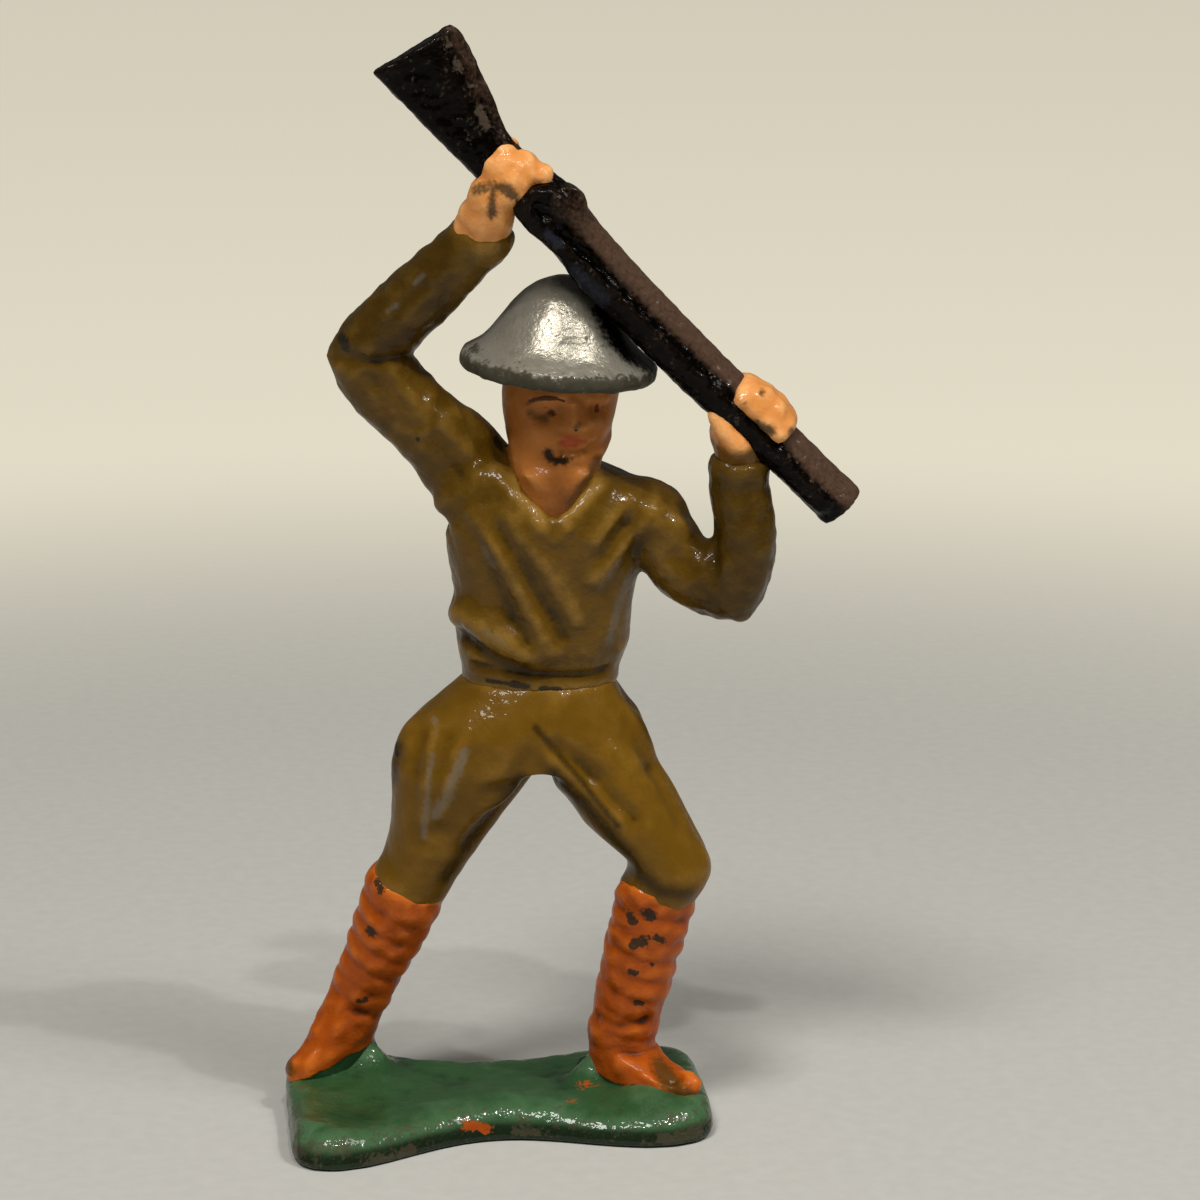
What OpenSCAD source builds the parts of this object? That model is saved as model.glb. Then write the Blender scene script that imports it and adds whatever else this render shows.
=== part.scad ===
// Cast-metal toy soldier swinging a rifle as a club, on a waisted base.
// Lengths are in millimetres. X runs along the base, Y from front to back, Z up.
// The origin is the middle of the base's underside. Right and left are the soldier's own.
// Heights are given above the base's top face, where the boots stand.

/* [Base] */
// Length of the base
base_length = 34; // [32:0.5:44]
// Depth of the base under the right foot
base_right_depth = 22; // [20:0.5:26]
// Depth of the base under the left foot
base_left_depth = 18.6; // [17.6:0.2:26]
// How far the base reaches forwards under the right foot
base_right_shift = 1.5; // [0:0.1:3]
// Depth of the base at its waist
base_waist = 12.6; // [9:0.1:18]
// Thickness of the base
base_thickness = 2.8; // [2.4:0.1:6]
// Rounding of the base's top edge
base_edge = 1; // [0.3:0.1:1.8]

/* [Boots and puttees] */
// Length of the right sole
right_sole_length = 8.8; // [7:0.1:10]
// Length of the left sole
left_sole_length = 11.8; // [9:0.1:12]
// Width of a boot's sole
sole_width = 4.6; // [4:0.1:5.4]
// Height of a boot's welt
welt_height = 1.4; // [0.8:0.1:2]
// Height of the right boot's top
right_boot_height = 7.6; // [6:0.1:10]
// Height of the left boot's top
left_boot_height = 3.9; // [3.4:0.1:8]
// Diameter of the right boot at its top
right_boot_diameter = 4.5; // [3.8:0.1:5.4]
// Diameter of the left boot at its top
left_boot_diameter = 5.2; // [3.8:0.1:5.6]
// Height of the puttees' tops, below the knees
puttee_height = 16.2; // [14:0.1:17.4]
// Diameter of a puttee at its top
calf_diameter = 6.3; // [5.4:0.1:7]
// Wraps of cloth that show on a puttee
puttee_wraps = 6; // [3:1:9]
// Height of a wrap's lip
wrap_lip = 0.28; // [0.1:0.02:0.45]

/* [Breeches] */
// Height of the knees
knee_height = 18.9; // [18.2:0.1:20.4]
// Width of a knee
knee_width = 6.7; // [6:0.1:7.6]
// Height of the middle of the thighs
thigh_height = 22.1; // [21.4:0.1:24]
// Width of the right thigh at its middle
right_thigh_width = 8.8; // [7:0.1:10]
// Width of the left thigh at its middle
left_thigh_width = 8.5; // [7:0.1:10]
// Depth of a thigh, front to back
thigh_depth = 8.8; // [7:0.1:10]
// Height of the hips, where the legs meet the seat
hip_height = 26.4; // [25:0.1:30]
// Width of the right breeches leg at the hip
right_hip_width = 12; // [9:0.1:12.2]
// Width of the left breeches leg at the hip
left_hip_width = 9.2; // [7:0.1:9.4]
// Depth of the hips, front to back
hip_depth = 10.8; // [9:0.1:12]
// Height of the seat, from the hips to the waist
seat_height = 7; // [5.6:0.1:9]
// Width across the fullest part of the seat
seat_width = 20; // [18:0.1:22]

/* [Tunic] */
// Width of the waist
waist_width = 12.8; // [11:0.1:15]
// Depth of the waist
waist_depth = 10.2; // [8:0.1:12]
// Height of the waistband
waistband_height = 1.3; // [0.8:0.1:2.4]
// How far the waistband draws in
waistband_inset = 0.35; // [0:0.05:0.8]
// Height of the tunic, from the waistband to the collar
tunic_height = 16.5; // [15:0.1:20]
// Width of the tunic where it blouses over the waistband
blouse_width = 13.8; // [12:0.1:16]
// Width of the chest
chest_width = 16.2; // [14:0.1:17]
// Depth of the chest
chest_depth = 12; // [10:0.1:14]
// Diameter of the collar
collar_diameter = 7.6; // [6.6:0.1:8.4]
// Depth of the open neck below the collar
neck_opening = 3.2; // [2:0.1:5]
// Width of the open neck at the collar
neck_opening_width = 6; // [4:0.1:7]

/* [Arms] */
// Length of the right upper arm
right_upper_arm = 13.2; // [12:0.1:16]
// Length of the right forearm
right_forearm = 13.6; // [12:0.1:16]
// Length of the left upper arm
left_upper_arm = 8.6; // [8:0.1:12]
// Length of the left forearm
left_forearm = 10.4; // [9.6:0.1:14]
// Width of the right sleeve at the armhole
right_armhole_width = 7.6; // [6:0.1:8.2]
// Width of the left sleeve at the armhole
left_armhole_width = 6.6; // [6:0.1:8.2]
// Depth of a sleeve at the armhole
armhole_depth = 7; // [6:0.1:8]
// Width of the right sleeve between shoulder and elbow
right_upper_width = 6.3; // [5.4:0.1:7]
// Width of the left sleeve between shoulder and elbow
left_upper_width = 5.8; // [5.4:0.1:7]
// Width of a sleeve across the bent elbow
elbow_width = 6.8; // [5.8:0.1:7.6]
// Depth of a sleeve at the elbow
elbow_depth = 5.8; // [5:0.1:7]
// Width of the right sleeve between elbow and cuff
right_lower_width = 5.6; // [4.8:0.1:6.4]
// Width of the left sleeve between elbow and cuff
left_lower_width = 5.1; // [4.8:0.1:6.4]
// Diameter of a sleeve at its cuff
cuff_diameter = 4.8; // [4.4:0.1:5.6]
// Length of a cuff
cuff_length = 1.2; // [0.8:0.1:2]
// How far a cuff stands out from its sleeve
cuff_lip = 0.2; // [0:0.05:0.5]

/* [Hands] */
// Diameter of a wrist
wrist_diameter = 4.4; // [3.8:0.1:4.8]
// Length of the right palm, from the wrist to the middle of the rifle
right_palm = 5.5; // [5:0.1:6]
// Length of the left palm, from the wrist to the middle of the rifle
left_palm = 3; // [2.8:0.1:4]
// Width of a fist across its knuckles
fist_width = 6.3; // [5.6:0.1:7]
// Depth of a fist, front to back
fist_depth = 6.6; // [5.8:0.1:7.4]
// How far the right fist reaches past the middle of the rifle
right_fist_reach = 2.3; // [2.2:0.1:3.8]
// How far the left fist reaches past the middle of the rifle
left_fist_reach = 3; // [2.2:0.1:3.8]

/* [Head and helmet] */
// Height of the neck between collar and head
neck_height = 0.7; // [0.4:0.1:3]
// Lean of the head towards the left shoulder, in degrees
head_lean = 9.5; // [0:0.5:15]
// Nod of the head forwards, in degrees
head_nod = 8; // [0:0.5:15]
// Turn of the head towards the left shoulder, in degrees
head_turn = 24; // [-40:1:40]
// Width of the head
head_width = 8.7; // [7.6:0.1:9]
// Depth of the head, front to back
head_depth = 9; // [8:0.1:9.2]
// Height of the face from its chin to the helmet's brim
face_height = 8; // [6.8:0.1:10]
// Height of the head above the helmet's brim
crown_height = 5.6; // [4.6:0.1:5.7]
// Height of the nose above the face
nose_height = 0.8; // [0.2:0.1:1.2]
// Diameter of the helmet's brim
brim_diameter = 15.4; // [14:0.1:18]
// Diameter of the helmet's dome where it meets the brim
dome_diameter = 11.2; // [10.8:0.1:12.6]
// Height of the helmet's dome above its brim
dome_height = 6.8; // [6.5:0.1:8.6]
// Thickness of the helmet
helmet_wall = 0.7; // [0.5:0.05:0.8]
// Drop of the brim from the dome to its edge
brim_drop = 1.5; // [0.6:0.1:2.2]

/* [Rifle] */
// Length of the butt, from the right hand to its end
butt_length = 11.4; // [9:0.1:14]
// Depth of the butt at its end
butt_depth = 7; // [5.4:0.1:8]
// Depth of the small of the stock, in the right hand
small_depth = 4; // [3.4:0.1:4.4]
// Depth of the stock at the receiver
receiver_depth = 4.6; // [4:0.1:5.4]
// Depth of the fore-end
fore_depth = 3.6; // [3:0.1:4]
// Thickness of the stock, front to back
stock_thickness = 3.4; // [2.8:0.1:3.8]
// Length of the stock past the left hand
muzzle_length = 8.2; // [6:0.1:11]
// Length of the nose cap on the muzzle
nose_cap_length = 1.3; // [0.8:0.1:2]
// How far the nose cap stands out from the stock
nose_cap_lip = 0.1; // [0:0.05:0.5]
// Diameter of the barrel
barrel_diameter = 1.7; // [1.2:0.1:2.2]
// Diameter of the receiver's boss
receiver_diameter = 3.2; // [2.4:0.1:3.8]
// How far the receiver's boss stands out from the stock
receiver_lip = 0.3; // [0.1:0.05:0.6]

/* [Joints between castings] */
// Diameter of the small spigots, in feet, wrists and boot tops
small_spigot = 1.8; // [1.2:0.1:2]
// Diameter of the large spigots, in limbs and neck
large_spigot = 2.4; // [1.6:0.1:2.8]
// Diameter of the waist spigot
waist_spigot = 4; // [3:0.1:5]
// Length of a spigot
spigot_length = 1.8; // [1.2:0.1:1.9]
// Radial clearance of a spigot in its socket
spigot_clearance = 0.05; // [0.02:0.01:0.1]
// Clearance between rifle and hands, and rifle and helmet
seat_clearance = 0.06; // [0.02:0.01:0.15]

/* [Hidden] */

khaki = "#5f4a17";
olive = "#4b3c14";
orange = "#c8500f";
skin = "#d98b4c";
green = "#2b5a35";
silver = "#b9b8b2";
walnut = "#2b1a16";

up = [0, 0, 1];
back = [0, 1, 0];
$fn = 48;

// Corners of a ring on limbs, body and head
limb_sides = 20;
body_sides = 28;
// Squareness of a section: 2 is an ellipse, more is boxier
round_section = 2;
body_section = 2.3;
stock_section = 3.4;
base_section = 7;

// Vectors and curves

function unit(v) = v / norm(v);
function mix(a, b, t) = a + (b - a) * t;
function on_base(p) = p + [0, 0, base_thickness];

// The pose: where the joints stand above the base's top, read from the figure's front view
// and given as shares of the sizes that carry them. The soles stand on the base's lobes,
// the waist stands over the base, the legs run between the two and the collar carries the rest.

waist = [0.112 * base_length, 0.098 * waist_depth, hip_height + seat_height];
collar = waist + waistband_height * up + tunic_height * [0.042, -0.079, 1];

// A joint of a leg: its shares of the way from hip to sole, sideways and front to back
function leg_joint(hip, sole, sideways, backwards, height) =
    [mix(hip.x, sole.x, sideways), mix(hip.y, sole.y, backwards), height];

right_sole = [-0.382 * base_length, 0.223 * base_right_depth, 0];
right_toe_angle = 215;
right_hip = [waist.x - 0.496 * right_hip_width, 0.074 * hip_depth, hip_height];
right_boot_top = leg_joint(right_hip, right_sole, 0.77, 0.88, right_boot_height);
right_puttee_top = leg_joint(right_hip, right_sole, 0.447, 0.29, puttee_height);
right_knee = leg_joint(right_hip, right_sole, 0.309, 0.22, knee_height);
right_thigh = leg_joint(right_hip, right_sole, 0.161, 0.12, thigh_height);

left_sole = [0.332 * base_length, -0.091 * base_left_depth, 0];
left_toe_angle = -44;
left_hip = [waist.x + 0.538 * left_hip_width, -0.01 * hip_depth, hip_height];
left_boot_top = leg_joint(left_hip, left_sole, 0.53, 0, left_boot_height);
left_puttee_top = leg_joint(left_hip, left_sole, 1.51, 1.5, puttee_height);
left_knee = leg_joint(left_hip, left_sole, 1.94, 1.81, knee_height);
left_thigh = leg_joint(left_hip, left_sole, 1, 1.06, thigh_height);

right_armhole = collar + [-chest_width / 3, chest_depth / 10, -0.079 * tunic_height];
right_elbow = right_armhole + right_upper_arm * unit([-8.8, 0.1, 9.9]);
right_wrist = right_elbow + right_forearm * unit([8.7, -4, 9.6]);
right_grip = right_wrist + right_palm * unit([1.4, -1.7, 5]);
left_armhole = collar + [0.463 * chest_width, -0.042 * chest_depth, -0.273 * tunic_height];
left_elbow = left_armhole + left_upper_arm * unit([6.4, -2.9, -5]);
left_wrist = left_elbow + left_forearm * unit([0.5, -0.8, 10.4]);
left_grip = left_wrist + left_palm * unit([1.3, -0.2, 2.7]);

// A smooth curve through a list of vectors, where t counts along the list
function spline(list, t) =
    let (
        last = len(list) - 1,
        i = max(0, min(floor(t), last - 1)),
        f = t - i,
        p1 = list[i],
        p2 = list[i + 1],
        p0 = i > 0 ? list[i - 1] : 2 * p1 - p2,
        p3 = i + 2 <= last ? list[i + 2] : 2 * p2 - p1
    )
    0.5 * (2 * p1 + (p2 - p0) * f + (2 * p0 - 5 * p1 + 4 * p2 - p3) * f * f
        + (3 * p1 - p0 - 3 * p2 + p3) * f * f * f);

// A station of a limb: its middle, the way its section faces, its half width and half depth
function station(middle, facing, width, depth) =
    [each middle, each unit(facing), width / 2, depth / 2];
function middle_of(s) = [s[0], s[1], s[2]];
function facing_of(s) = unit([s[3], s[4], s[5]]);

// Distance from a section's middle to its edge, in the direction a
function section_radius(a, half_width, half_depth, squareness) =
    pow(pow(abs(cos(a)) / half_width, squareness) + pow(abs(sin(a)) / half_depth, squareness),
        -1 / squareness);

// The ring of a station's section, turned by an angle and grown by a length
function ring(s, sides = limb_sides, squareness = round_section, turn = 0, grow = 0) =
    let (
        n = facing_of(s),
        v = unit(back - (back * n) * n),
        u = cross(v, n)
    )
    [for (k = [0:sides - 1])
        let (a = 360 * k / sides)
        middle_of(s) + (section_radius(a - turn, s[6], s[7], squareness) + grow)
            * (cos(a) * u + sin(a) * v)];

// Rings along a limb, with some steps from each station to the next
function rings(stations, steps, sides = limb_sides, squareness = round_section, turn = 0, grow = 0) =
    [for (i = [0:(len(stations) - 1) * steps])
        ring(spline(stations, i / steps), sides, squareness, turn, grow)];

// The solid through a list of rings, closed by a flat face at each end
module loft(rings) {
    count = len(rings[0]);
    last = len(rings) - 1;
    sides = [for (i = [0:last - 1], k = [0:count - 1])
        let (
            a = i * count + k,
            b = i * count + (k + 1) % count
        )
        each [[a, a + count, b], [b, a + count, b + count]]];
    ends = [[for (k = [0:count - 1]) k], [for (k = [count - 1:-1:0]) last * count + k]];
    polyhedron([for (r = rings) each r], concat(sides, ends), convexity = 8);
}

// Turns +Z to a direction and moves the origin to a place
module aim(place, direction) {
    d = unit(direction);
    translate(place) rotate([0, acos(d.z), atan2(d.y, d.x)]) children();
}

// A round spigot that stands out of a joint face, and the socket that takes it.
// A root runs back into the spigot's own piece, so the two are one casting.
spigot_root = 0.6;
socket_end_gap = 0.15;
module spigot(place, direction, diameter, length = spigot_length) {
    aim(place - spigot_root * unit(direction), direction)
        cylinder(d = diameter, h = length + spigot_root);
}
module socket(place, direction, diameter, length = spigot_length) {
    aim(place - spigot_root * unit(direction), direction)
        cylinder(d = diameter + 2 * spigot_clearance, h = length + spigot_root + socket_end_gap);
}

// Base

// Outline of the base where its edge is drawn in by an inset: two lobes with a waist between
lobe_share = 0.86;
function base_ring(inset, z) =
    [for (k = [0:63])
        let (
            a = 360 * k / 64,
            half = base_length / 2 - inset,
            r = section_radius(a, half, half, base_section),
            x = r * cos(a),
            along = (x / half + 1) / 2,
            lobe = mix(base_right_depth, base_left_depth, along) / 2,
            to_lobe = pow(sin(90 * min(1, abs(x) / (lobe_share * half))), 2),
            edge = mix(base_waist / 2, lobe, to_lobe) - inset
        )
        [x, r * sin(a) / half * edge - base_right_shift * (1 - along) * to_lobe, z]];

foot_chamfer = 0.4;
module base() {
    edge = [for (a = [0:22.5:90]) [base_edge * (1 - cos(a)), base_thickness - base_edge * (1 - sin(a))]];
    color(green) difference() {
        loft(concat(
            [base_ring(foot_chamfer, 0), base_ring(0, foot_chamfer)],
            [for (e = edge) base_ring(e[0], e[1])]));
        for (sole = [right_sole, left_sole])
            socket(on_base(sole), -up, small_spigot);
    }
}

// Legs, in the order right then left

function of_side(right, left, side) = side == "right" ? right : left;
function sole_at(side) = on_base(of_side(right_sole, left_sole, side));
function boot_top_at(side) = on_base(of_side(right_boot_top, left_boot_top, side));
function puttee_top_at(side) = on_base(of_side(right_puttee_top, left_puttee_top, side));
function knee_at(side) = on_base(of_side(right_knee, left_knee, side));
function thigh_at(side) = on_base(of_side(right_thigh, left_thigh, side));
function hip_at(side) = on_base(of_side(right_hip, left_hip, side));
function hip_width(side) = of_side(right_hip_width, left_hip_width, side);
function boot_diameter(side) = of_side(right_boot_diameter, left_boot_diameter, side);
function shin_way(side) = unit(puttee_top_at(side) - boot_top_at(side));

module boot(side) {
    sole = sole_at(side);
    top = boot_top_at(side);
    toe = of_side(right_toe_angle, left_toe_angle, side);
    sole_length = of_side(right_sole_length, left_sole_length, side);
    instep = mix(sole, top, 0.5);
    ankle = [instep.x, instep.y, mix(sole.z + welt_height, top.z, 0.55)];
    color(orange) difference() {
        union() {
            loft(rings([
                station(sole, up, sole_length, sole_width),
                station(sole + welt_height * up, up, sole_length, sole_width),
                station(mix(sole + welt_height * up, ankle, 0.5), up, mix(sole_length, boot_diameter(side), 0.55),
                    mix(sole_width, boot_diameter(side), 0.5)),
                station(top, shin_way(side), boot_diameter(side), boot_diameter(side))
            ], 3, turn = toe));
            spigot(sole, -up, small_spigot);
        }
        socket(top, -shin_way(side), small_spigot);
    }
}

// A puttee is a strip of cloth wound up the shin: each wrap swells to a lip and slants a little
wrap_slant = 0.35;
rings_per_wrap = 4;
module puttee(side) {
    low = boot_top_at(side);
    high = puttee_top_at(side);
    way = shin_way(side);
    count = puttee_wraps * rings_per_wrap;
    wrapped = [for (i = [0:count])
        let (
            t = i / count,
            diameter = mix(boot_diameter(side), calf_diameter, t),
            s = station(mix(low, high, t), way, diameter, diameter),
            flat_end = i == 0 || i == count ? 0 : wrap_lip
        )
        [for (k = [0:limb_sides - 1])
            let (
                phase = t * puttee_wraps + wrap_slant * sin(360 * k / limb_sides),
                lip = flat_end * (phase - floor(phase))
            )
            ring(s, grow = lip)[k]]];
    color(orange) {
        loft(wrapped);
        spigot(low, -way, small_spigot);
        spigot(high, way, large_spigot);
    }
}

module breeches_leg(side) {
    low = puttee_top_at(side);
    thigh = thigh_at(side);
    hip = hip_at(side);
    way = shin_way(side);
    thigh_width = of_side(right_thigh_width, left_thigh_width, side);
    color(khaki) difference() {
        union() {
            loft(rings([
                station(low, way, calf_diameter, calf_diameter),
                station(knee_at(side), way + up, knee_width, mix(calf_diameter, thigh_depth, 0.4)),
                station(thigh, up, thigh_width, thigh_depth),
                station(hip, up, hip_width(side), hip_depth)
            ], 4, squareness = 2.1));
            spigot(hip, up, large_spigot);
        }
        socket(low, way, large_spigot);
    }
}

module breeches_seat() {
    hip = mix(hip_at("right"), hip_at("left"), 0.5);
    hip_left_edge = hip_at("right").x - right_hip_width / 2;
    hip_right_edge = hip_at("left").x + left_hip_width / 2;
    hip_middle = [(hip_left_edge + hip_right_edge) / 2, hip.y, hip.z];
    top = on_base(waist);
    full = mix(hip_middle, top, 0.5);
    color(khaki) difference() {
        union() {
            loft(rings([
                station(hip_middle, up, hip_right_edge - hip_left_edge, hip_depth),
                station([mix(hip_middle.x, full.x, 0.6), full.y, full.z], up, seat_width, 1.06 * hip_depth),
                station(top, up, waist_width, waist_depth)
            ], 5, body_sides, body_section));
            spigot(top, up, waist_spigot, waistband_height + spigot_length);
        }
        for (side = ["right", "left"])
            socket(hip_at(side), up, large_spigot);
    }
}

// Tunic

function band_top() = on_base(waist) + waistband_height * up;

module waistband() {
    low = on_base(waist);
    inner = station(low + waistband_height / 2 * up, up, waist_width - 2 * waistband_inset,
        waist_depth - 2 * waistband_inset);
    color(olive) difference() {
        loft(rings([station(low, up, waist_width, waist_depth), inner,
            station(band_top(), up, waist_width, waist_depth)], 2, body_sides, body_section));
        socket(low, up, waist_spigot, waistband_height + spigot_length);
    }
}

// Places and directions of the sleeves. An armhole faces between its sleeve and straight out.
function armhole_at(side) = on_base(of_side(right_armhole, left_armhole, side));
function elbow_at(side) = on_base(of_side(right_elbow, left_elbow, side));
function wrist_at(side) = on_base(of_side(right_wrist, left_wrist, side));
function upper_way(side) = unit(elbow_at(side) - armhole_at(side));
function lower_way(side) = unit(wrist_at(side) - elbow_at(side));
function armhole_width(side) = of_side(right_armhole_width, left_armhole_width, side);
function upper_width(side) = of_side(right_upper_width, left_upper_width, side);
function lower_width(side) = of_side(right_lower_width, left_lower_width, side);
function outward(side) = of_side([-1, 0, 0], [1, 0, 0], side);
function armhole_facing(side) = unit(upper_way(side) + outward(side));
function elbow_facing(side) = unit(upper_way(side) + lower_way(side));

// The inside of a bent elbow, and the stations next to it, which turn about that point
elbow_crease = 0.6;
function elbow_inward(side) = unit(lower_way(side) - upper_way(side));
function across(way, inward) = unit((inward * way) * way - inward);
function beside_elbow(side, way, shift, width) =
    elbow_at(side) + elbow_width / 2 * elbow_inward(side) + shift * way
        + width / 2 * across(way, elbow_inward(side));

// The triangle of bare chest in the open neck, as a prism that runs front to back
module neck_prism(front, rear) {
    top = on_base(collar);
    over = 1;
    spread = neck_opening_width / 2 * (neck_opening + over) / neck_opening;
    translate([top.x, rear, top.z]) rotate([90, 0, 0]) linear_extrude(rear - front)
        polygon([[0, -neck_opening], [spread, over], [-spread, over]]);
}
function neck_rear() = on_base(collar).y - chest_depth / 4;
function chest_front() = on_base(collar).y - chest_depth / 2;

big = 40;
armhole_margin = 0.8;
module tunic() {
    low = band_top();
    top = on_base(collar);
    color(olive) difference() {
        loft(rings([
            station(low, up, waist_width, waist_depth),
            station(mix(low, top, 0.15), up, blouse_width, 1.12 * waist_depth),
            station(mix(low, top, 0.38), up, mix(blouse_width, chest_width, 0.25), 0.95 * chest_depth),
            station(mix(low, top, 0.66), up, chest_width, chest_depth),
            station(mix(low, top, 0.88), up, mix(chest_width, collar_diameter, 0.12), mix(chest_depth, collar_diameter, 0.5)),
            station(top, up, collar_diameter, collar_diameter)
        ], 4, body_sides, body_section));
        socket(low, up, waist_spigot);
        for (side = ["right", "left"]) {
            aim(armhole_at(side), armhole_facing(side)) cylinder(d = armhole_width(side) + 2 * armhole_margin, h = big);
            socket(armhole_at(side), -armhole_facing(side), large_spigot);
        }
        neck_prism(chest_front() - big, neck_rear());
        socket(head_foot(), -head_way(), large_spigot, head_spigot_length());
    }
}

module upper_sleeve(side) {
    shoulder = armhole_at(side);
    way = upper_way(side);
    width = upper_width(side);
    bend = beside_elbow(side, way, -elbow_crease, width);
    color(olive) difference() {
        union() {
            loft(rings([
                station(shoulder, armhole_facing(side), armhole_width(side), armhole_depth),
                station(mix(shoulder, bend, 0.5), way, width, mix(armhole_depth, elbow_depth, 0.6)),
                station(bend, way, width, elbow_depth),
                station(elbow_at(side), elbow_facing(side), elbow_width, elbow_depth)
            ], 3));
            spigot(shoulder, -armhole_facing(side), large_spigot);
        }
        socket(elbow_at(side), -elbow_facing(side), large_spigot);
    }
}

function cuff_start(side) = wrist_at(side) - cuff_length * lower_way(side);

module lower_sleeve(side) {
    end = cuff_start(side);
    way = lower_way(side);
    width = lower_width(side);
    bend = beside_elbow(side, way, elbow_crease, width);
    color(olive) difference() {
        union() {
            loft(rings([
                station(elbow_at(side), elbow_facing(side), elbow_width, elbow_depth),
                station(bend, way, width, elbow_depth),
                station(mix(bend, end, 0.5), way, mix(width, cuff_diameter, 0.3), mix(elbow_depth, cuff_diameter, 0.5)),
                station(end, way, cuff_diameter, cuff_diameter)
            ], 3));
            spigot(elbow_at(side), -elbow_facing(side), large_spigot);
        }
        socket(end, -way, small_spigot);
    }
}

module cuff(side) {
    lip = cuff_diameter + 2 * cuff_lip;
    color(olive) difference() {
        loft(rings([
            station(cuff_start(side), lower_way(side), cuff_diameter, cuff_diameter),
            station(mix(cuff_start(side), wrist_at(side), 0.5), lower_way(side), lip, lip),
            station(wrist_at(side), lower_way(side), cuff_diameter, cuff_diameter)
        ], 2));
        socket(wrist_at(side), -lower_way(side), small_spigot, cuff_length + spigot_length);
    }
}

// Hands

function grip_at(side) = on_base(of_side(right_grip, left_grip, side));

// A fist runs from the wrist over the rifle, which lies in a channel through it
module hand(side) {
    wrist = wrist_at(side);
    grip = grip_at(side);
    way = unit(grip - wrist);
    knuckles = grip + of_side(right_fist_reach, left_fist_reach, side) * way;
    color(skin) difference() {
        union() {
            loft(rings([
                station(wrist, lower_way(side), wrist_diameter, wrist_diameter),
                station(mix(wrist, grip, 0.55), way, mix(wrist_diameter, fist_width, 0.75), mix(wrist_diameter, fist_depth, 0.75)),
                station(grip, way, fist_width, fist_depth),
                station(mix(grip, knuckles, 0.65), way, 0.92 * fist_width, 0.96 * fist_depth),
                station(knuckles, way, 0.5 * fist_width, 0.55 * fist_depth)
            ], 3, squareness = 2.4));
            spigot(wrist, -lower_way(side), small_spigot, cuff_length + spigot_length);
        }
        stock_form(seat_clearance);
        barrel_rod(receiver_from, stock_end(), seat_clearance);
        receiver_boss(seat_clearance);
    }
}

// Head, neck and helmet, in a frame whose origin is the middle of the brim's plane

// The head's own up direction, the flat underside that meets the neck, and the brim's middle
function head_way() = [sin(head_lean) * cos(head_nod), -sin(head_nod), cos(head_lean) * cos(head_nod)];
function head_foot() = on_base(collar) + [-0.086 * collar_diameter, -0.013 * collar_diameter, neck_height];
function head_middle() = head_foot() + face_height * head_way();
function head_spigot_length() = norm(head_foot() - on_base(collar)) + spigot_length;

module head_frame() {
    translate(head_middle()) rotate([0, head_lean, 0]) rotate([head_nod, 0, 0])
        rotate([0, 0, head_turn]) children();
}

module neck() {
    foot = on_base(collar);
    color(skin) difference() {
        union() {
            loft(rings([
                station(foot, up, 0.86 * collar_diameter, 0.86 * collar_diameter),
                station(head_foot(), head_way(), 0.74 * head_width, 0.74 * head_width)
            ], 3));
            intersection() {
                neck_prism(chest_front() + 0.7, neck_rear());
                translate([-big / 2, -big / 2, foot.z - big]) cube(big);
            }
        }
        socket(head_foot(), -head_way(), large_spigot, head_spigot_length());
    }
}

// Height of a rounded swelling at a distance from its middle
function swell(distance, reach) = exp(-pow(distance / reach, 2));

// The face looks along -Y of its frame, which is 270 degrees on its rings.
// Nose, chin and brow each spread over an angle to either side of that.
nose_spread = 14;
chin_spread = 22;
brow_spread = 40;
crown_diameter = 2.8;
module head() {
    profile = [
        [0, 0.52, 0.56, -0.06], [0.06, 0.70, 0.80, -0.055], [0.22, 0.85, 0.93, -0.033],
        [0.46, 0.97, 1, -0.011], [0.72, 1, 1, 0], [1, 0.98, 0.97, 0], [1.3, 0.86, 0.86, 0]];
    sections = concat(
        [for (p = profile)
            station([0, p[3] * head_depth, (p[0] - 1) * face_height], up, p[1] * head_width, p[2] * head_depth)],
        [station([0, 0, crown_height], up, crown_diameter, crown_diameter)]);
    steps = 3;
    face = [for (i = [0:(len(sections) - 1) * steps])
        let (
            s = spline(sections, i / steps),
            level = s[2] / face_height,
            plain = ring(s, body_sides, body_section)
        )
        [for (k = [0:body_sides - 1])
            let (
                a = 360 * k / body_sides - 270,
                nose = nose_height * swell(a, nose_spread) * swell(level + 0.46, 0.13),
                chin = 0.3 * nose_height * swell(a, chin_spread) * swell(level + 0.86, 0.1),
                brow = 0.3 * nose_height * swell(a, brow_spread) * swell(level + 0.16, 0.08)
            )
            plain[k] + (nose + chin + brow) * [sin(a), -cos(a), 0]]];
    color(skin) head_frame() difference() {
        union() {
            loft(face);
            spigot([0, 0, -face_height], -up, large_spigot, head_spigot_length());
        }
        socket([0, 0, crown_height], -up, small_spigot);
    }
}

// Outline of the helmet's dome and brim, from its crown to its edge
function dome_curve(radius, height, low) =
    [for (a = [90:-10:0]) [radius * cos(a), low + (height - low) * sin(a)]];

brim_root = 0.9;
rim_bead = 0.45;
module helmet_outside(grow = 0) {
    edge = brim_diameter / 2 - rim_bead;
    rotate_extrude() {
        polygon(concat(
            dome_curve(dome_diameter / 2 + grow, dome_height + grow, brim_root),
            [[edge, brim_root - brim_drop + rim_bead + grow], [edge, brim_root - brim_drop - rim_bead - grow],
                [0, brim_root - brim_drop - rim_bead - grow]]));
        translate([edge, brim_root - brim_drop]) circle(r = rim_bead + grow, $fn = 24);
    }
}

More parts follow.
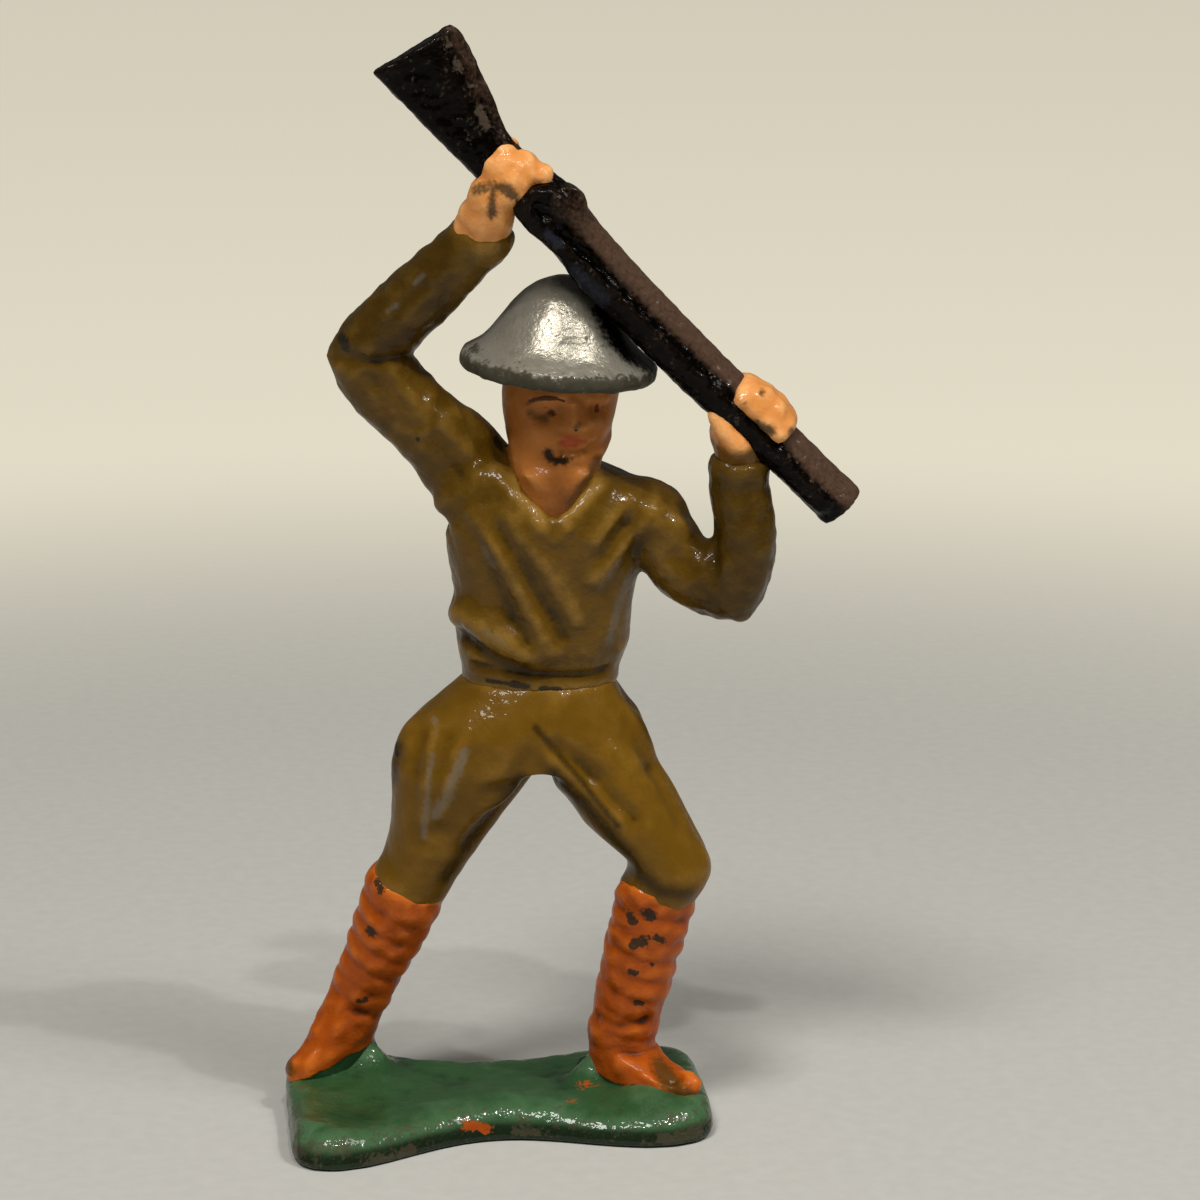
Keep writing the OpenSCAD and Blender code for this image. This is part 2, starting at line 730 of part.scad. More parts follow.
module helmet() {
    edge = brim_diameter / 2 - rim_bead;
    hollow = dome_diameter / 2 - helmet_wall;
    color(silver) head_frame() {
        rotate_extrude() {
            polygon(concat(
                dome_curve(dome_diameter / 2, dome_height, brim_root),
                [[edge, brim_root - brim_drop + rim_bead], [edge, brim_root - brim_drop - rim_bead],
                    [hollow, brim_root - helmet_wall]],
                [for (a = [10:10:60]) [hollow * cos(a), brim_root + (dome_height - helmet_wall - brim_root) * sin(a)]],
                [[crown_diameter / 2, crown_height], [0, crown_height]]));
            translate([edge, brim_root - brim_drop]) circle(r = rim_bead, $fn = 24);
        }
        spigot([0, 0, crown_height], -up, small_spigot);
    }
}

// Rifle, in a frame whose origin is in the right hand, X along the barrel to the muzzle,
// Y to the back and Z up and away from the soldier's head

function rifle_way() = unit(grip_at("left") - grip_at("right"));
function rifle_up() = unit(up - (up * rifle_way()) * rifle_way());
function on_rifle(s, height = 0, depth = 0) =
    grip_at("right") + s * rifle_way() + height * rifle_up()
        + depth * cross(rifle_up(), rifle_way());
function grip_span() = norm(grip_at("left") - grip_at("right"));
function stock_end() = grip_span() + muzzle_length;

// Line of the stock's sight side, below the middle of the barrel
sight_line = 1.75;
butt_rake = 15;
// Places along the stock, measured from the right hand to the muzzle
small_at = -1.2;
receiver_from = 3.5;
receiver_thickest = 4.3;
receiver_to = 8.5;
fore_from = 14;
// Where the fore-end takes its even depth, short of the left hand
fore_even = 4;

// A section of the stock: its sight side lies on one line and its depth grows away from it
function stock_station(s, depth, thickness, rake = 0) =
    station(on_rifle(s, depth / 2 - sight_line),
        cos(rake) * rifle_way() - sin(rake) * rifle_up(), depth, thickness);

module stock_form(grow = 0) {
    loft(rings([
        stock_station(-butt_length, butt_depth, stock_thickness, butt_rake),
        stock_station(-0.5 * butt_length, mix(butt_depth, small_depth, 0.45), stock_thickness, 0.5 * butt_rake),
        stock_station(small_at, small_depth, 0.94 * stock_thickness),
        stock_station(receiver_thickest, receiver_depth, stock_thickness),
        stock_station(receiver_to, mix(receiver_depth, fore_depth, 0.5), stock_thickness),
        stock_station(fore_from, mix(receiver_depth, fore_depth, 0.8), stock_thickness),
        stock_station(grip_span() - fore_even, fore_depth, stock_thickness),
        stock_station(stock_end(), fore_depth, stock_thickness)
    ], 3, squareness = stock_section, grow = grow));
}

// The barrel lies half sunk in the front of the stock, near its sight side
barrel_height = 0.9;
function barrel_point(s) = on_rifle(s, barrel_height - sight_line, -stock_thickness / 2);

module barrel_rod(from, to, grow = 0) {
    aim(barrel_point(from), rifle_way()) cylinder(d = barrel_diameter + 2 * grow, h = to - from);
}

// The receiver is a round boss that runs through the stock from front to back
module receiver_boss(grow = 0) {
    long = stock_thickness + 2 * receiver_lip;
    at = on_rifle(receiver_from + receiver_diameter / 2, receiver_depth - sight_line - receiver_diameter / 2 + receiver_lip);
    translate(at + [0, long / 2 + grow, 0]) rotate([90, 0, 0])
        cylinder(d = receiver_diameter + 2 * grow, h = long + 2 * grow);
}

module rifle_stock() {
    color(walnut) difference() {
        stock_form();
        barrel_rod(receiver_from, stock_end() + 1, spigot_clearance);
        receiver_boss(spigot_clearance);
        head_frame() helmet_outside(seat_clearance);
    }
}

module rifle_barrel() {
    color(walnut) difference() {
        barrel_rod(receiver_from, stock_end());
        receiver_boss(spigot_clearance);
        head_frame() helmet_outside(seat_clearance);
    }
}

module rifle_receiver() {
    color(walnut) receiver_boss();
}

module rifle_nose_cap() {
    depth = fore_depth + 2 * nose_cap_lip;
    thickness = stock_thickness + 2 * nose_cap_lip;
    middle = fore_depth / 2 - sight_line;
    color(walnut) loft(rings([
        station(on_rifle(stock_end(), middle), rifle_way(), depth, thickness),
        station(on_rifle(stock_end() + nose_cap_length, middle), rifle_way(), depth, thickness)
    ], 1, squareness = stock_section));
}

base();
boot("right");  // right_boot
boot("left");  // left_boot
puttee("right");  // right_puttee
puttee("left");  // left_puttee
breeches_leg("right");  // right_breeches_leg
breeches_leg("left");  // left_breeches_leg
breeches_seat();
waistband();
tunic();
upper_sleeve("right");  // right_upper_sleeve
upper_sleeve("left");  // left_upper_sleeve
lower_sleeve("right");  // right_lower_sleeve
lower_sleeve("left");  // left_lower_sleeve
cuff("right");  // right_cuff
cuff("left");  // left_cuff
hand("right");  // right_hand
hand("left");  // left_hand
neck();
head();
helmet();
rifle_stock();
rifle_barrel();
rifle_receiver();
rifle_nose_cap();
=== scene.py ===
"""Looks of a cast-metal toy soldier that swings a rifle as a club. The shapes are worked in
millimetres, with X along the base, Y to the back and Z up, and set down in metres."""

import math

import bmesh
import bpy
import numpy as np
from mathutils import Matrix, Vector, noise
from mathutils.kdtree import KDTree


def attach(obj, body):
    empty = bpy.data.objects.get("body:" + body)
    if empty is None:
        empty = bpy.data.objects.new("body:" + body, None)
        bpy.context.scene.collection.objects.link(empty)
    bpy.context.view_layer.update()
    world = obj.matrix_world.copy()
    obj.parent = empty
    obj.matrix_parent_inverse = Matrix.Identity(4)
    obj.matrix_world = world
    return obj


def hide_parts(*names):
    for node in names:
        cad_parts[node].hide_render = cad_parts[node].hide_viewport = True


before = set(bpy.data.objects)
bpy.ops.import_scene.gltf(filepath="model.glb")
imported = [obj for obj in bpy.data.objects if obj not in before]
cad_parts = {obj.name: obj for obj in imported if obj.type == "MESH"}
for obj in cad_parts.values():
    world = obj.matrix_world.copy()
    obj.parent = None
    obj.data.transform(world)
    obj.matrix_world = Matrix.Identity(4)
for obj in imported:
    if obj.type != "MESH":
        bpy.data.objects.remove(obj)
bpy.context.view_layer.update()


# Base: a waisted slab of cast metal that carries the figure, with an uneven top from the mould.
# It is brushed with green enamel, which drips of orange have hit and which is worn at the edges.


MILLIMETRE = 0.001


def clay_of(*solids):
    """Copies of solids in one lump, with their loose corners merged."""
    clay = bmesh.new()
    for solid in solids:
        clay.from_mesh(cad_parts[solid].data)
    bmesh.ops.remove_doubles(clay, verts=clay.verts, dist=1e-7)
    bmesh.ops.scale(clay, vec=(1 / MILLIMETRE,) * 3, verts=clay.verts)
    return clay


def cast(name, clay, grain, rounds):
    """One closed skin of small even faces round a lump of clay, and its corners once eased."""
    rough = bpy.data.meshes.new(name + "_clay")
    clay.to_mesh(rough)
    clay.free()
    piece = bpy.data.objects.new(name, rough)
    bpy.context.scene.collection.objects.link(piece)
    skin = piece.modifiers.new("skin", "REMESH")
    skin.mode = "VOXEL"
    skin.voxel_size = grain
    skin.use_smooth_shade = True
    cast_mesh = bpy.data.meshes.new_from_object(piece.evaluated_get(bpy.context.evaluated_depsgraph_get()))
    piece.modifiers.clear()
    piece.data = cast_mesh
    return piece, eased(piece, points_of(piece), rounds)


def points_of(piece):
    """Corners of a piece's skin."""
    flat = np.empty(3 * len(piece.data.vertices), np.float32)
    piece.data.vertices.foreach_get("co", flat)
    return flat.reshape(-1, 3).astype(float)


def outward(piece, points):
    """Directions straight out of a piece's skin, with its corners at the points."""
    piece.data.vertices.foreach_set("co", points.astype(np.float32).ravel())
    piece.data.update()
    flat = np.empty(3 * len(points), np.float32)
    piece.data.vertex_normals.foreach_get("vector", flat)
    return flat.reshape(-1, 3).astype(float)


def eased(piece, points, rounds):
    """The points drawn towards their neighbours, as a file takes down sharp edges."""
    flat = np.empty(2 * len(piece.data.edges), np.int32)
    piece.data.edges.foreach_get("vertices", flat)
    ends = flat.reshape(-1, 2)
    count = np.bincount(flat, minlength=len(points))
    pull = 0.6
    for _ in range(rounds):
        for axis in range(3):
            row = points[:, axis]
            total = np.bincount(ends[:, 0], row[ends[:, 1]], len(points))
            total += np.bincount(ends[:, 1], row[ends[:, 0]], len(points))
            points[:, axis] = (1 - pull) * row + pull * total / count
    return points


def distance(points, path):
    """Distance from each point to a line through places, or to a single place."""
    places = np.asarray(path, float)
    nearest = np.linalg.norm(points - places[0], axis=1)
    for start, end in zip(places[:-1], places[1:]):
        way = end - start
        along = np.clip((points - start) @ way / (way @ way), 0, 1)
        nearest = np.minimum(nearest, np.linalg.norm(points - start - along[:, None] * way, axis=1))
    return nearest


def swelled(piece, points, heights):
    """The points pushed straight out of the skin, each by its own height."""
    return points + heights[:, None] * outward(piece, points)


def modelled(piece, points, strokes):
    """Folds and hollows pushed into the skin: each has a height, a width and a path."""
    for height, width, path in strokes:
        points = swelled(piece, points, height * np.exp(-((distance(points, path) / width) ** 2)))
    return points


def rise(values, start, reach):
    """0 before the start and 1 past the reach beyond it, with an even slope between."""
    return np.clip((values - start) / reach, 0, 1)


def lumps(points, size):
    """An uneven swell of about that size, from -1 to 1, as old moulds leave."""
    return np.array([noise.noise(Vector(p) / size) for p in points])


def painted(points, marks, depth=0.35):
    """A brush mask: 1 in the middle of each mark, 0.5 at its width and 0 at twice that. Distances to
    the front count for less, as the brush follows the skin."""
    mask = np.zeros(len(points))
    flatter = np.array((1.0, depth, 1.0))
    for width, path in marks:
        away = distance(points * flatter, np.asarray(path) * flatter)
        mask = np.maximum(mask, np.clip(1 - away / (2 * width), 0, 1))
    return mask


def keep(piece, name, values):
    """Stores a value for each corner of a piece, for its paint to read."""
    layer = piece.data.attributes.new(name, "FLOAT", "POINT")
    layer.data.foreach_set("value", np.asarray(values, np.float32))


def mark(piece, name, points, marks):
    """Stores a brush mask for a piece's paint to read."""
    keep(piece, name, painted(points, marks))


def keep_relief(piece, points, depth, rounds):
    """Stores how far the skin stands out from its own smooth form: 0.5 is level."""
    raised = ((points - eased(piece, points.copy(), rounds)) * outward(piece, points)).sum(1)
    keep(piece, "relief", np.clip(0.5 + 0.5 * raised / depth, 0, 1))
    return raised


def set_down(piece, points, paint, slot, *solids):
    """Puts a finished skin in its place in the frame, painted and riding on the casting."""
    piece.data.vertices.foreach_set("co", (points * MILLIMETRE).astype(np.float32).ravel())
    piece.data.update()
    piece.data.materials.clear()
    piece.data.materials.append(paint)
    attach(piece, "root")
    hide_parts(*solids)


def card(red, green, blue):
    """A paint's colour as read off a colour card, from 0 to 255."""
    levels = [value / 255 for value in (red, green, blue)]
    return tuple(v / 12.92 if v <= 0.04 else ((v + 0.055) / 1.055) ** 2.4 for v in levels) + (1,)


def add(tree, kind, inputs, **settings):
    """A shader node with its inputs linked or set."""
    made = tree.nodes.new(kind)
    for setting, value in settings.items():
        setattr(made, setting, value)
    for socket, value in inputs.items():
        if isinstance(value, bpy.types.NodeSocket):
            tree.links.new(value, made.inputs[socket])
        else:
            made.inputs[socket].default_value = value
    return made


def sums(tree, value, factor, offset):
    """value times factor plus offset."""
    return add(tree, "ShaderNodeMath", {0: value, 1: factor, 2: offset}, operation="MULTIPLY_ADD").outputs[0]


def layered(tree, share, under, over):
    """Two colours, the upper one over a share of the surface."""
    return add(tree, "ShaderNodeMix", {0: share, 6: under, 7: over}, data_type="RGBA").outputs[2]


def enamel(name, dark, body, light, marks=(), gloss=0.34, metal=0.0, coat=0.22, lump=0.5, grit=0.35,
           shine=0.06):
    """Brushed enamel: dark in the hollows, as painted shade and dirt, and light on the ridges, as a painted
    highlight, with marks of other paint, of bare metal, of dirt or of painted light and shade. A mark is the
    name of its mask, its colour, how ragged and how soft its edge is, how far it covers and its roughness."""
    paint = bpy.data.materials.new(name)
    paint.use_nodes = True
    tree = paint.node_tree
    shader = tree.nodes["Principled BSDF"]
    place = tree.nodes.new("ShaderNodeTexCoord").outputs["Object"]

    def grain(scale, detail):
        return add(tree, "ShaderNodeTexNoise",
                   {"Vector": place, "Scale": scale, "Detail": detail}).outputs[0]

    def mask(layer):
        return add(tree, "ShaderNodeAttribute", {}, attribute_name=layer).outputs["Fac"]

    broad = grain(260, 4)
    middle = grain(900, 3)
    fine = grain(3200, 3)
    tone = sums(tree, broad, 0.36, -0.18)
    # The relief paints shade and dirt into the hollows and a highlight onto the ridges.
    tone = sums(tree, middle, 0.24, add(tree, "ShaderNodeMath", {0: tone, 1: mask("relief")}).outputs[0])
    tone = sums(tree, fine, 0.1, sums(tree, tone, 1, -0.17))
    ramp = tree.nodes.new("ShaderNodeValToRGB")
    ramp.color_ramp.interpolation = "EASE"
    for stop, (where, colour) in enumerate(((0.12, dark), (0.5, body), (0.88, light))):
        if stop == 1:
            ramp.color_ramp.elements.new(where)
        ramp.color_ramp.elements[stop].position = where
        ramp.color_ramp.elements[stop].color = colour
    tree.links.new(tone, ramp.inputs[0])
    colour = ramp.outputs[0]
    rough = sums(tree, middle, 0.25, gloss - 0.125)
    height = sums(tree, middle, lump, sums(tree, fine, grit, 0))
    bright = metal
    for layer, mark_colour, ragged, soft, cover, mark_rough in marks:
        broken = sums(tree, middle, 0.6 * ragged, mask(layer))
        broken = sums(tree, fine, 0.8 * ragged, broken)
        centre = 0.5 + 0.7 * ragged
        edge = add(tree, "ShaderNodeMapRange",
                   {0: broken, 1: centre - soft, 2: centre + soft, 3: 0.0, 4: cover},
                   interpolation_type="SMOOTHSTEP").outputs[0]
        shaded = layered(tree, middle, mark_colour, tuple(0.6 * v for v in mark_colour[:3]) + (1,))
        colour = layered(tree, edge, colour, shaded)
        rough = add(tree, "ShaderNodeMix", {0: edge, 2: rough, 3: mark_rough}).outputs[0]
        height = sums(tree, edge, -0.25, height)
        if metal:
            bright = add(tree, "ShaderNodeMix", {0: edge, 2: bright, 3: 0.0}).outputs[0]
    bump = add(tree, "ShaderNodeBump", {"Strength": 0.6, "Distance": 0.00025, "Height": height})
    tree.links.new(bump.outputs[0], shader.inputs["Normal"])
    top_grain = add(tree, "ShaderNodeBump", {
        "Strength": 0.7, "Distance": 0.00014, "Height": grain(1900, 1)})
    tree.links.new(top_grain.outputs[0], shader.inputs["Coat Normal"])
    tree.links.new(colour, shader.inputs["Base Color"])
    tree.links.new(rough, shader.inputs["Roughness"])
    shader.inputs["Metallic"].default_value = metal
    if metal and marks:
        tree.links.new(bright, shader.inputs["Metallic"])
    shader.inputs["Coat Weight"].default_value = coat
    shader.inputs["Coat Roughness"].default_value = 0.05
    shader.inputs["Specular IOR Level"].default_value = shine
    return paint


LEAD = card(86, 78, 60)
# The darkest mark of the green enamel is painted shade on the walls of the base.
green_paint = enamel(
    "green_enamel", card(20, 42, 22), card(46, 79, 45), card(70, 105, 70),
    marks=(("wall_shade", card(18, 27, 13), 0.5, 0.4, 0.9, 0.4), ("bare", LEAD, 2.5, 0.2, 0.62, 0.5),
           ("drips", card(184, 80, 16), 1.3, 0.1, 0.9, 0.3)),
    coat=0.5, lump=0.8, grit=0.6)
base_height = 2.8
base, ground = cast("base_ground", clay_of("base"), grain=0.28, rounds=6)
ground_out = outward(base, ground)
wall = np.flatnonzero(np.abs(ground_out[:, 2]) < 0.4)
rim = KDTree(len(wall))
for corner in wall:
    rim.insert((ground[corner, 0], ground[corner, 1], 0), corner)
rim.balance()
nearest = [rim.find((x, y, 0)) for x, y in ground[:, :2]]
from_rim = np.array([found[2] for found in nearest])
front_share = np.clip(0.25 - 1.2 * ground_out[[found[1] for found in nearest], 1], 0.15, 1)
boot_spots = np.array(((-15.6, 4.2), (-13.0, 4.9), (-10.4, 4.8), (8.4, -0.6), (11.3, -1.7), (14.0, -3.9)))
boot_away = np.hypot(*(ground[:, None, :2] - boot_spots).transpose(2, 0, 1)).min(1)
roll = np.clip(1 - from_rim / (1.2 + 2.2 * front_share), 0, 1)
drop = 1.75 * front_share * (1 - np.sqrt(1 - roll ** 2)) * (1 - np.exp(-((boot_away / 3.2) ** 2)))
ground[:, 2] *= 1 - drop / base_height
top_share = rise(ground[:, 2], 0.7, 1.4)
ground_swells = (
    (0.5, 4.2, -13.0, 4.0), (0.45, 4.6, 11.5, -1.0), (-0.55, 3.6, -11.6, -4.2), (0.35, 3.4, 0.5, -4.6),
    (-0.35, 3.0, -4.5, 1.0), (0.3, 2.6, 14.8, -7.2), (0.35, 2.4, -14.6, -9.6), (-0.25, 2.6, 5.0, 3.0),
    (-0.3, 2.4, 8.5, -6.6), (2.1, 1.6, -10.1, 4.6), (1.9, 1.4, 7.6, -0.3), (0.7, 2.2, 11.6, -4.6))
for height, reach, across, back in ground_swells:
    away = np.hypot(ground[:, 0] - across, ground[:, 1] - back)
    ground[:, 2] += top_share * height * np.exp(-((away / reach) ** 2))
top_swell = 0.16 * lumps(ground, 3.1) + 0.08 * lumps(ground, 1.2) + 0.03 * lumps(ground, 0.6)
ground[:, 2] += top_share * top_swell
side_share = 1 - np.abs(outward(base, ground)[:, 2])
wall_swell = side_share * np.clip(ground[:, 2] / 0.8, 0, 1) * 0.14 * lumps(ground, 2.3)
ground = swelled(base, ground, wall_swell)
ground_raised = keep_relief(base, ground, depth=0.3, rounds=30)
worn_spots = (
    (0.55, ((-16.6, -7.5, 2.2), (-16.4, -5.2, 2.7), (-16.6, -3.6, 2.4))),
    (0.3, ((1.0, -6.6, 0.9), (2.6, -6.6, 0.9))),
    (0.6, ((12.6, -9.3, 0.9), (15.4, -8.6, 0.9))), (0.4, ((-8.6, -9.6, 2.2), (-7.2, -8.8, 2.4))),
    (0.45, ((-10.6, -10.4, 0.5), (-7.6, -9.3, 0.5))), (0.6, ((-17.0, -9.6, 0.5), (-16.6, -10.6, 1.6))),
    (0.45, ((-15.6, -11.2, 1.9), (-12.8, -11.4, 1.8))), (0.4, ((16.6, -6.8, 1.4), (16.9, -4.0, 1.6))),
    (0.8, ((16.8, 3.0, 1.2), (16.0, 8.2, 1.4))), (0.7, ((-9.0, 8.4, 1.2), (-14.0, 8.6, 1.0))))
edge_wear = np.clip(ground_raised / 0.5, 0, 0.4) * rise(ground[:, 2], 3.2, -0.6)
keep(base, "bare", np.maximum(painted(ground, worn_spots), edge_wear))
# Painted shade darkens the walls of the base, most towards the bottom.
keep(base, "wall_shade", 0.9 * np.clip(1.3 * side_share * (2.2 - ground[:, 2]), 0, 1))
mark(base, "drips", ground, (
    (0.34, ((6.6, -2.1, 2.9), (7.9, -2.0, 2.9))), (0.28, ((5.3, -5.5, 3.0), (5.9, -5.7, 3.0))),
    (0.38, ((-3.1, -6.9, 1.6), (-2.2, -6.8, 1.5), (-1.3, -6.6, 1.1))), (0.2, ((7.9, -7.2, 2.8),))))
set_down(base, ground, green_paint, "green_enamel", "base")


# Boots and puttees: each lower leg is one casting, a plain ankle boot below and a strip of cloth
# wound up the shin above it, both in orange enamel. The base's green has run up the boots.


def growth(name, tree, settings):
    """A plain mesh from a tree of geometry nodes, with its named sizes set."""
    seed = bpy.data.objects.new(name, bpy.data.meshes.new(name))
    bpy.context.scene.collection.objects.link(seed)
    grower = seed.modifiers.new(name, "NODES")
    grower.node_group = tree
    for socket in tree.interface.items_tree:
        if socket.item_type == "SOCKET" and socket.in_out == "INPUT" and socket.name in settings:
            grower[socket.identifier] = settings[socket.name]
    grown = bpy.data.meshes.new_from_object(seed.evaluated_get(bpy.context.evaluated_depsgraph_get()))
    seed.modifiers.clear()
    bpy.data.objects.remove(seed)
    return grown


def tree_with(name, sockets):
    """An empty tree of geometry nodes with named inputs, and its two end nodes."""
    tree = bpy.data.node_groups.new(name, "GeometryNodeTree")
    for socket, kind in sockets.items():
        tree.interface.new_socket(socket, in_out="INPUT", socket_type="NodeSocket" + kind)
    tree.interface.new_socket("Mesh", in_out="OUTPUT", socket_type="NodeSocketGeometry")
    return tree, tree.nodes.new("NodeGroupInput").outputs, tree.nodes.new("NodeGroupOutput").inputs


puttee_tree, sizes, puttee_end = tree_with("wound_puttee", {
    "Foot": "Vector", "Way": "Vector", "Length": "Float", "Wraps": "Float", "Foot radius": "Float",
    "Top radius": "Float", "Strip width": "Float", "Strip thickness": "Float", "Paint": "Material"})
helix = add(puttee_tree, "GeometryNodeCurveSpiral", {
    "Resolution": 40, "Rotations": sizes["Wraps"], "Start Radius": sizes["Foot radius"],
    "End Radius": sizes["Top radius"], "Height": sizes["Length"]})
helix = add(puttee_tree, "GeometryNodeSetCurveNormal", {"Curve": helix.outputs[0]}, mode="Z_UP")
section = add(puttee_tree, "GeometryNodeCurvePrimitiveCircle", {"Resolution": 16, "Radius": 1.0})
flat = add(puttee_tree, "ShaderNodeCombineXYZ",
           {"X": sizes["Strip thickness"], "Y": sizes["Strip width"], "Z": 1.0})
section = add(puttee_tree, "GeometryNodeTransform",
              {"Geometry": section.outputs[0], "Scale": flat.outputs[0]})
strip = add(puttee_tree, "GeometryNodeCurveToMesh", {
    "Curve": helix.outputs[0], "Profile Curve": section.outputs[0], "Fill Caps": True})
shin = add(puttee_tree, "GeometryNodeMeshCone", {
    "Vertices": 48, "Radius Top": sizes["Top radius"], "Radius Bottom": sizes["Foot radius"],
    "Depth": sizes["Length"]})
wound = puttee_tree.nodes.new("GeometryNodeJoinGeometry")
puttee_tree.links.new(strip.outputs[0], wound.inputs[0])
puttee_tree.links.new(shin.outputs[0], wound.inputs[0])
lean = add(puttee_tree, "FunctionNodeAlignRotationToVector", {"Vector": sizes["Way"]}, axis="Z")
stood = add(puttee_tree, "GeometryNodeTransform", {
    "Geometry": wound.outputs[0], "Translation": sizes["Foot"], "Rotation": lean.outputs[0]})
real = add(puttee_tree, "GeometryNodeRealizeInstances", {"Geometry": stood.outputs[0]})
coated = add(puttee_tree, "GeometryNodeSetMaterial",
             {"Geometry": real.outputs[0], "Material": sizes["Paint"]})
puttee_tree.links.new(coated.outputs[0], puttee_end[0])

# The olive mark is partly dirt and partly painted shade, in the hollows by the toes.
orange_paint = enamel(
    "orange_enamel", card(64, 24, 3), card(164, 74, 14), card(202, 104, 32),
    marks=(("runs", card(38, 68, 40), 0.35, 0.06, 1.0, 0.3),
           ("olive", card(84, 62, 20), 0.9, 0.25, 0.85, 0.35),
           ("bare", card(40, 42, 32), 1.5, 0.15, 0.92, 0.5)), lump=0.6)


def lower_leg(side, low, high, foot_radius, top_radius, wraps, slope, strokes, green_line, olive, chips):
    """A boot with its puttee. slope tells how far the puttee's top edge is drawn up or down, and
    green_line how high the green runs at places along the base."""
    way = Vector(high) - Vector(low)
    clay = clay_of(side + "_boot")
    bmesh.ops.translate(clay, vec=(0, 0, -0.25), verts=clay.verts)
    clay.from_mesh(growth(side + "_puttee", puttee_tree, {
        "Foot": low, "Way": way, "Length": way.length, "Wraps": wraps, "Foot radius": foot_radius,
        "Top radius": top_radius, "Strip width": 0.62 * way.length / wraps, "Strip thickness": 0.46,
        "Paint": orange_paint}))
    leg, points = cast(side + "_lower_leg", clay, grain=0.17, rounds=4)
    points = modelled(leg, points, strokes)
    points[:, 2] += slope(points)
    points = swelled(leg, points, 0.15 * lumps(points, 1.2) + 0.16 * lumps(points, 2.4))
    keep_relief(leg, points, depth=0.2, rounds=24)
    across, heights = zip(*green_line)
    run = np.interp(points[:, 0], across, heights) + 0.25 * lumps(points, 1.3)
    keep(leg, "runs", np.clip(0.5 + 0.8 * (run - points[:, 2]), 0, 1))
    # Olive by the toes: partly dirt, partly painted shade in the hollows.
    mark(leg, "olive", points, olive)
    mark(leg, "bare", points, chips)
    set_down(leg, points, orange_paint, "orange_enamel", side + "_boot", side + "_puttee")


lower_leg(
    "right", low=(-10.6, 4.4, 9.6), high=(-6.8, 1.9, 19.5), foot_radius=2.05, top_radius=2.95, wraps=6,
    slope=lambda points: 0.0,
    strokes=((0.35, 0.9, ((-7.5, -1.2, 19.4), (-5.4, -1.2, 18.6), (-4.4, 0.2, 18.2))),
             (0.25, 1.0, ((-13.5, 2.6, 4.5), (-16.0, 3.0, 3.4))),
             (-0.2, 0.6, ((-11.8, 2.4, 8.6), (-10.4, 2.4, 8.2)))),
    green_line=((-17.0, 2.6), (-15.5, 3.1), (-14.0, 3.7), (-12.1, 4.5), (-9.5, 5.0)),
    olive=((0.6, ((-16.6, 3.0, 3.6), (-16.5, 4.6, 3.8))),),
    chips=((0.3, ((-9.4, -0.1, 20.0), (-9.2, -0.2, 19.4))), (0.36, ((-10.1, 0.6, 15.8), (-10.0, 0.5, 15.6))),
           (0.22, ((-11.0, 2.2, 9.4), (-10.4, 2.0, 9.5)))))
lower_leg(
    "left", low=(10.1, -0.1, 6.2), high=(12.65, -2.55, 19.5), foot_radius=2.3, top_radius=2.95, wraps=7.5,
    slope=lambda points: rise(points[:, 2], 16, 3) * (
        0.1 * (points[:, 0] - 12.65) - 0.3 * np.minimum(points[:, 1] + 2.55, 0) - 0.45),
    strokes=((0.4, 0.5, ((12.7, -3.4, 7.6), (14.5, -4.3, 5.0), (15.5, -5.0, 3.8))),
             (-0.6, 0.8, ((12.9, -4.6, 5.4), (13.6, -5.4, 4.4))),
             (-0.25, 0.5, ((7.9, -1.6, 8.6), (9.7, -3.2, 8.2), (12.0, -3.2, 8.7)))),
    green_line=((6.0, 6.2), (7.0, 5.6), (7.7, 3.9), (9.0, 3.5), (11.5, 3.5), (13.5, 3.1), (16.5, 2.7)),
    olive=((0.75, ((12.9, -4.4, 5.2), (13.4, -5.2, 4.2), (14.4, -5.9, 3.2))),),
    chips=((0.34, ((10.3, -4.8, 18.0), (10.5, -4.8, 17.6))),
           (0.42, ((11.6, -5.4, 18.4), (11.9, -5.5, 18.0))),
           (0.46, ((10.6, -4.8, 15.6), (11.4, -4.9, 15.8))),
           (0.34, ((12.4, -5.1, 16.1), (12.9, -5.0, 15.9))),
           (0.2, ((12.1, -4.5, 13.7),)), (0.28, ((10.4, -4.4, 13.1), (10.8, -4.4, 13.0))),
           (0.26, ((11.0, -3.9, 10.4), (11.4, -3.9, 10.3)))))


# Breeches: the seat and both legs, cast as one with cloth folds drawn in the mould. They are brushed in a
# yellower khaki than the tunic, with the undercoat rubbed grey on the right thigh, and painted shade lies in
# the creases and seams and along the inner edges of the thighs.


def beads(clay, path, radii):
    """A row of overlapping beads of clay from the first place to the last."""
    places = [Vector(p) for p in path]
    for (start, end), (wide, narrow) in zip(zip(places[:-1], places[1:]), zip(radii[:-1], radii[1:])):
        steps = max(2, math.ceil((end - start).length / (0.35 * min(wide, narrow))))
        for step in range(steps + 1):
            share = step / steps
            spot = Matrix.Translation(start.lerp(end, share))
            radius = wide + (narrow - wide) * share
            bmesh.ops.create_icosphere(clay, subdivisions=2, radius=radius, matrix=spot)


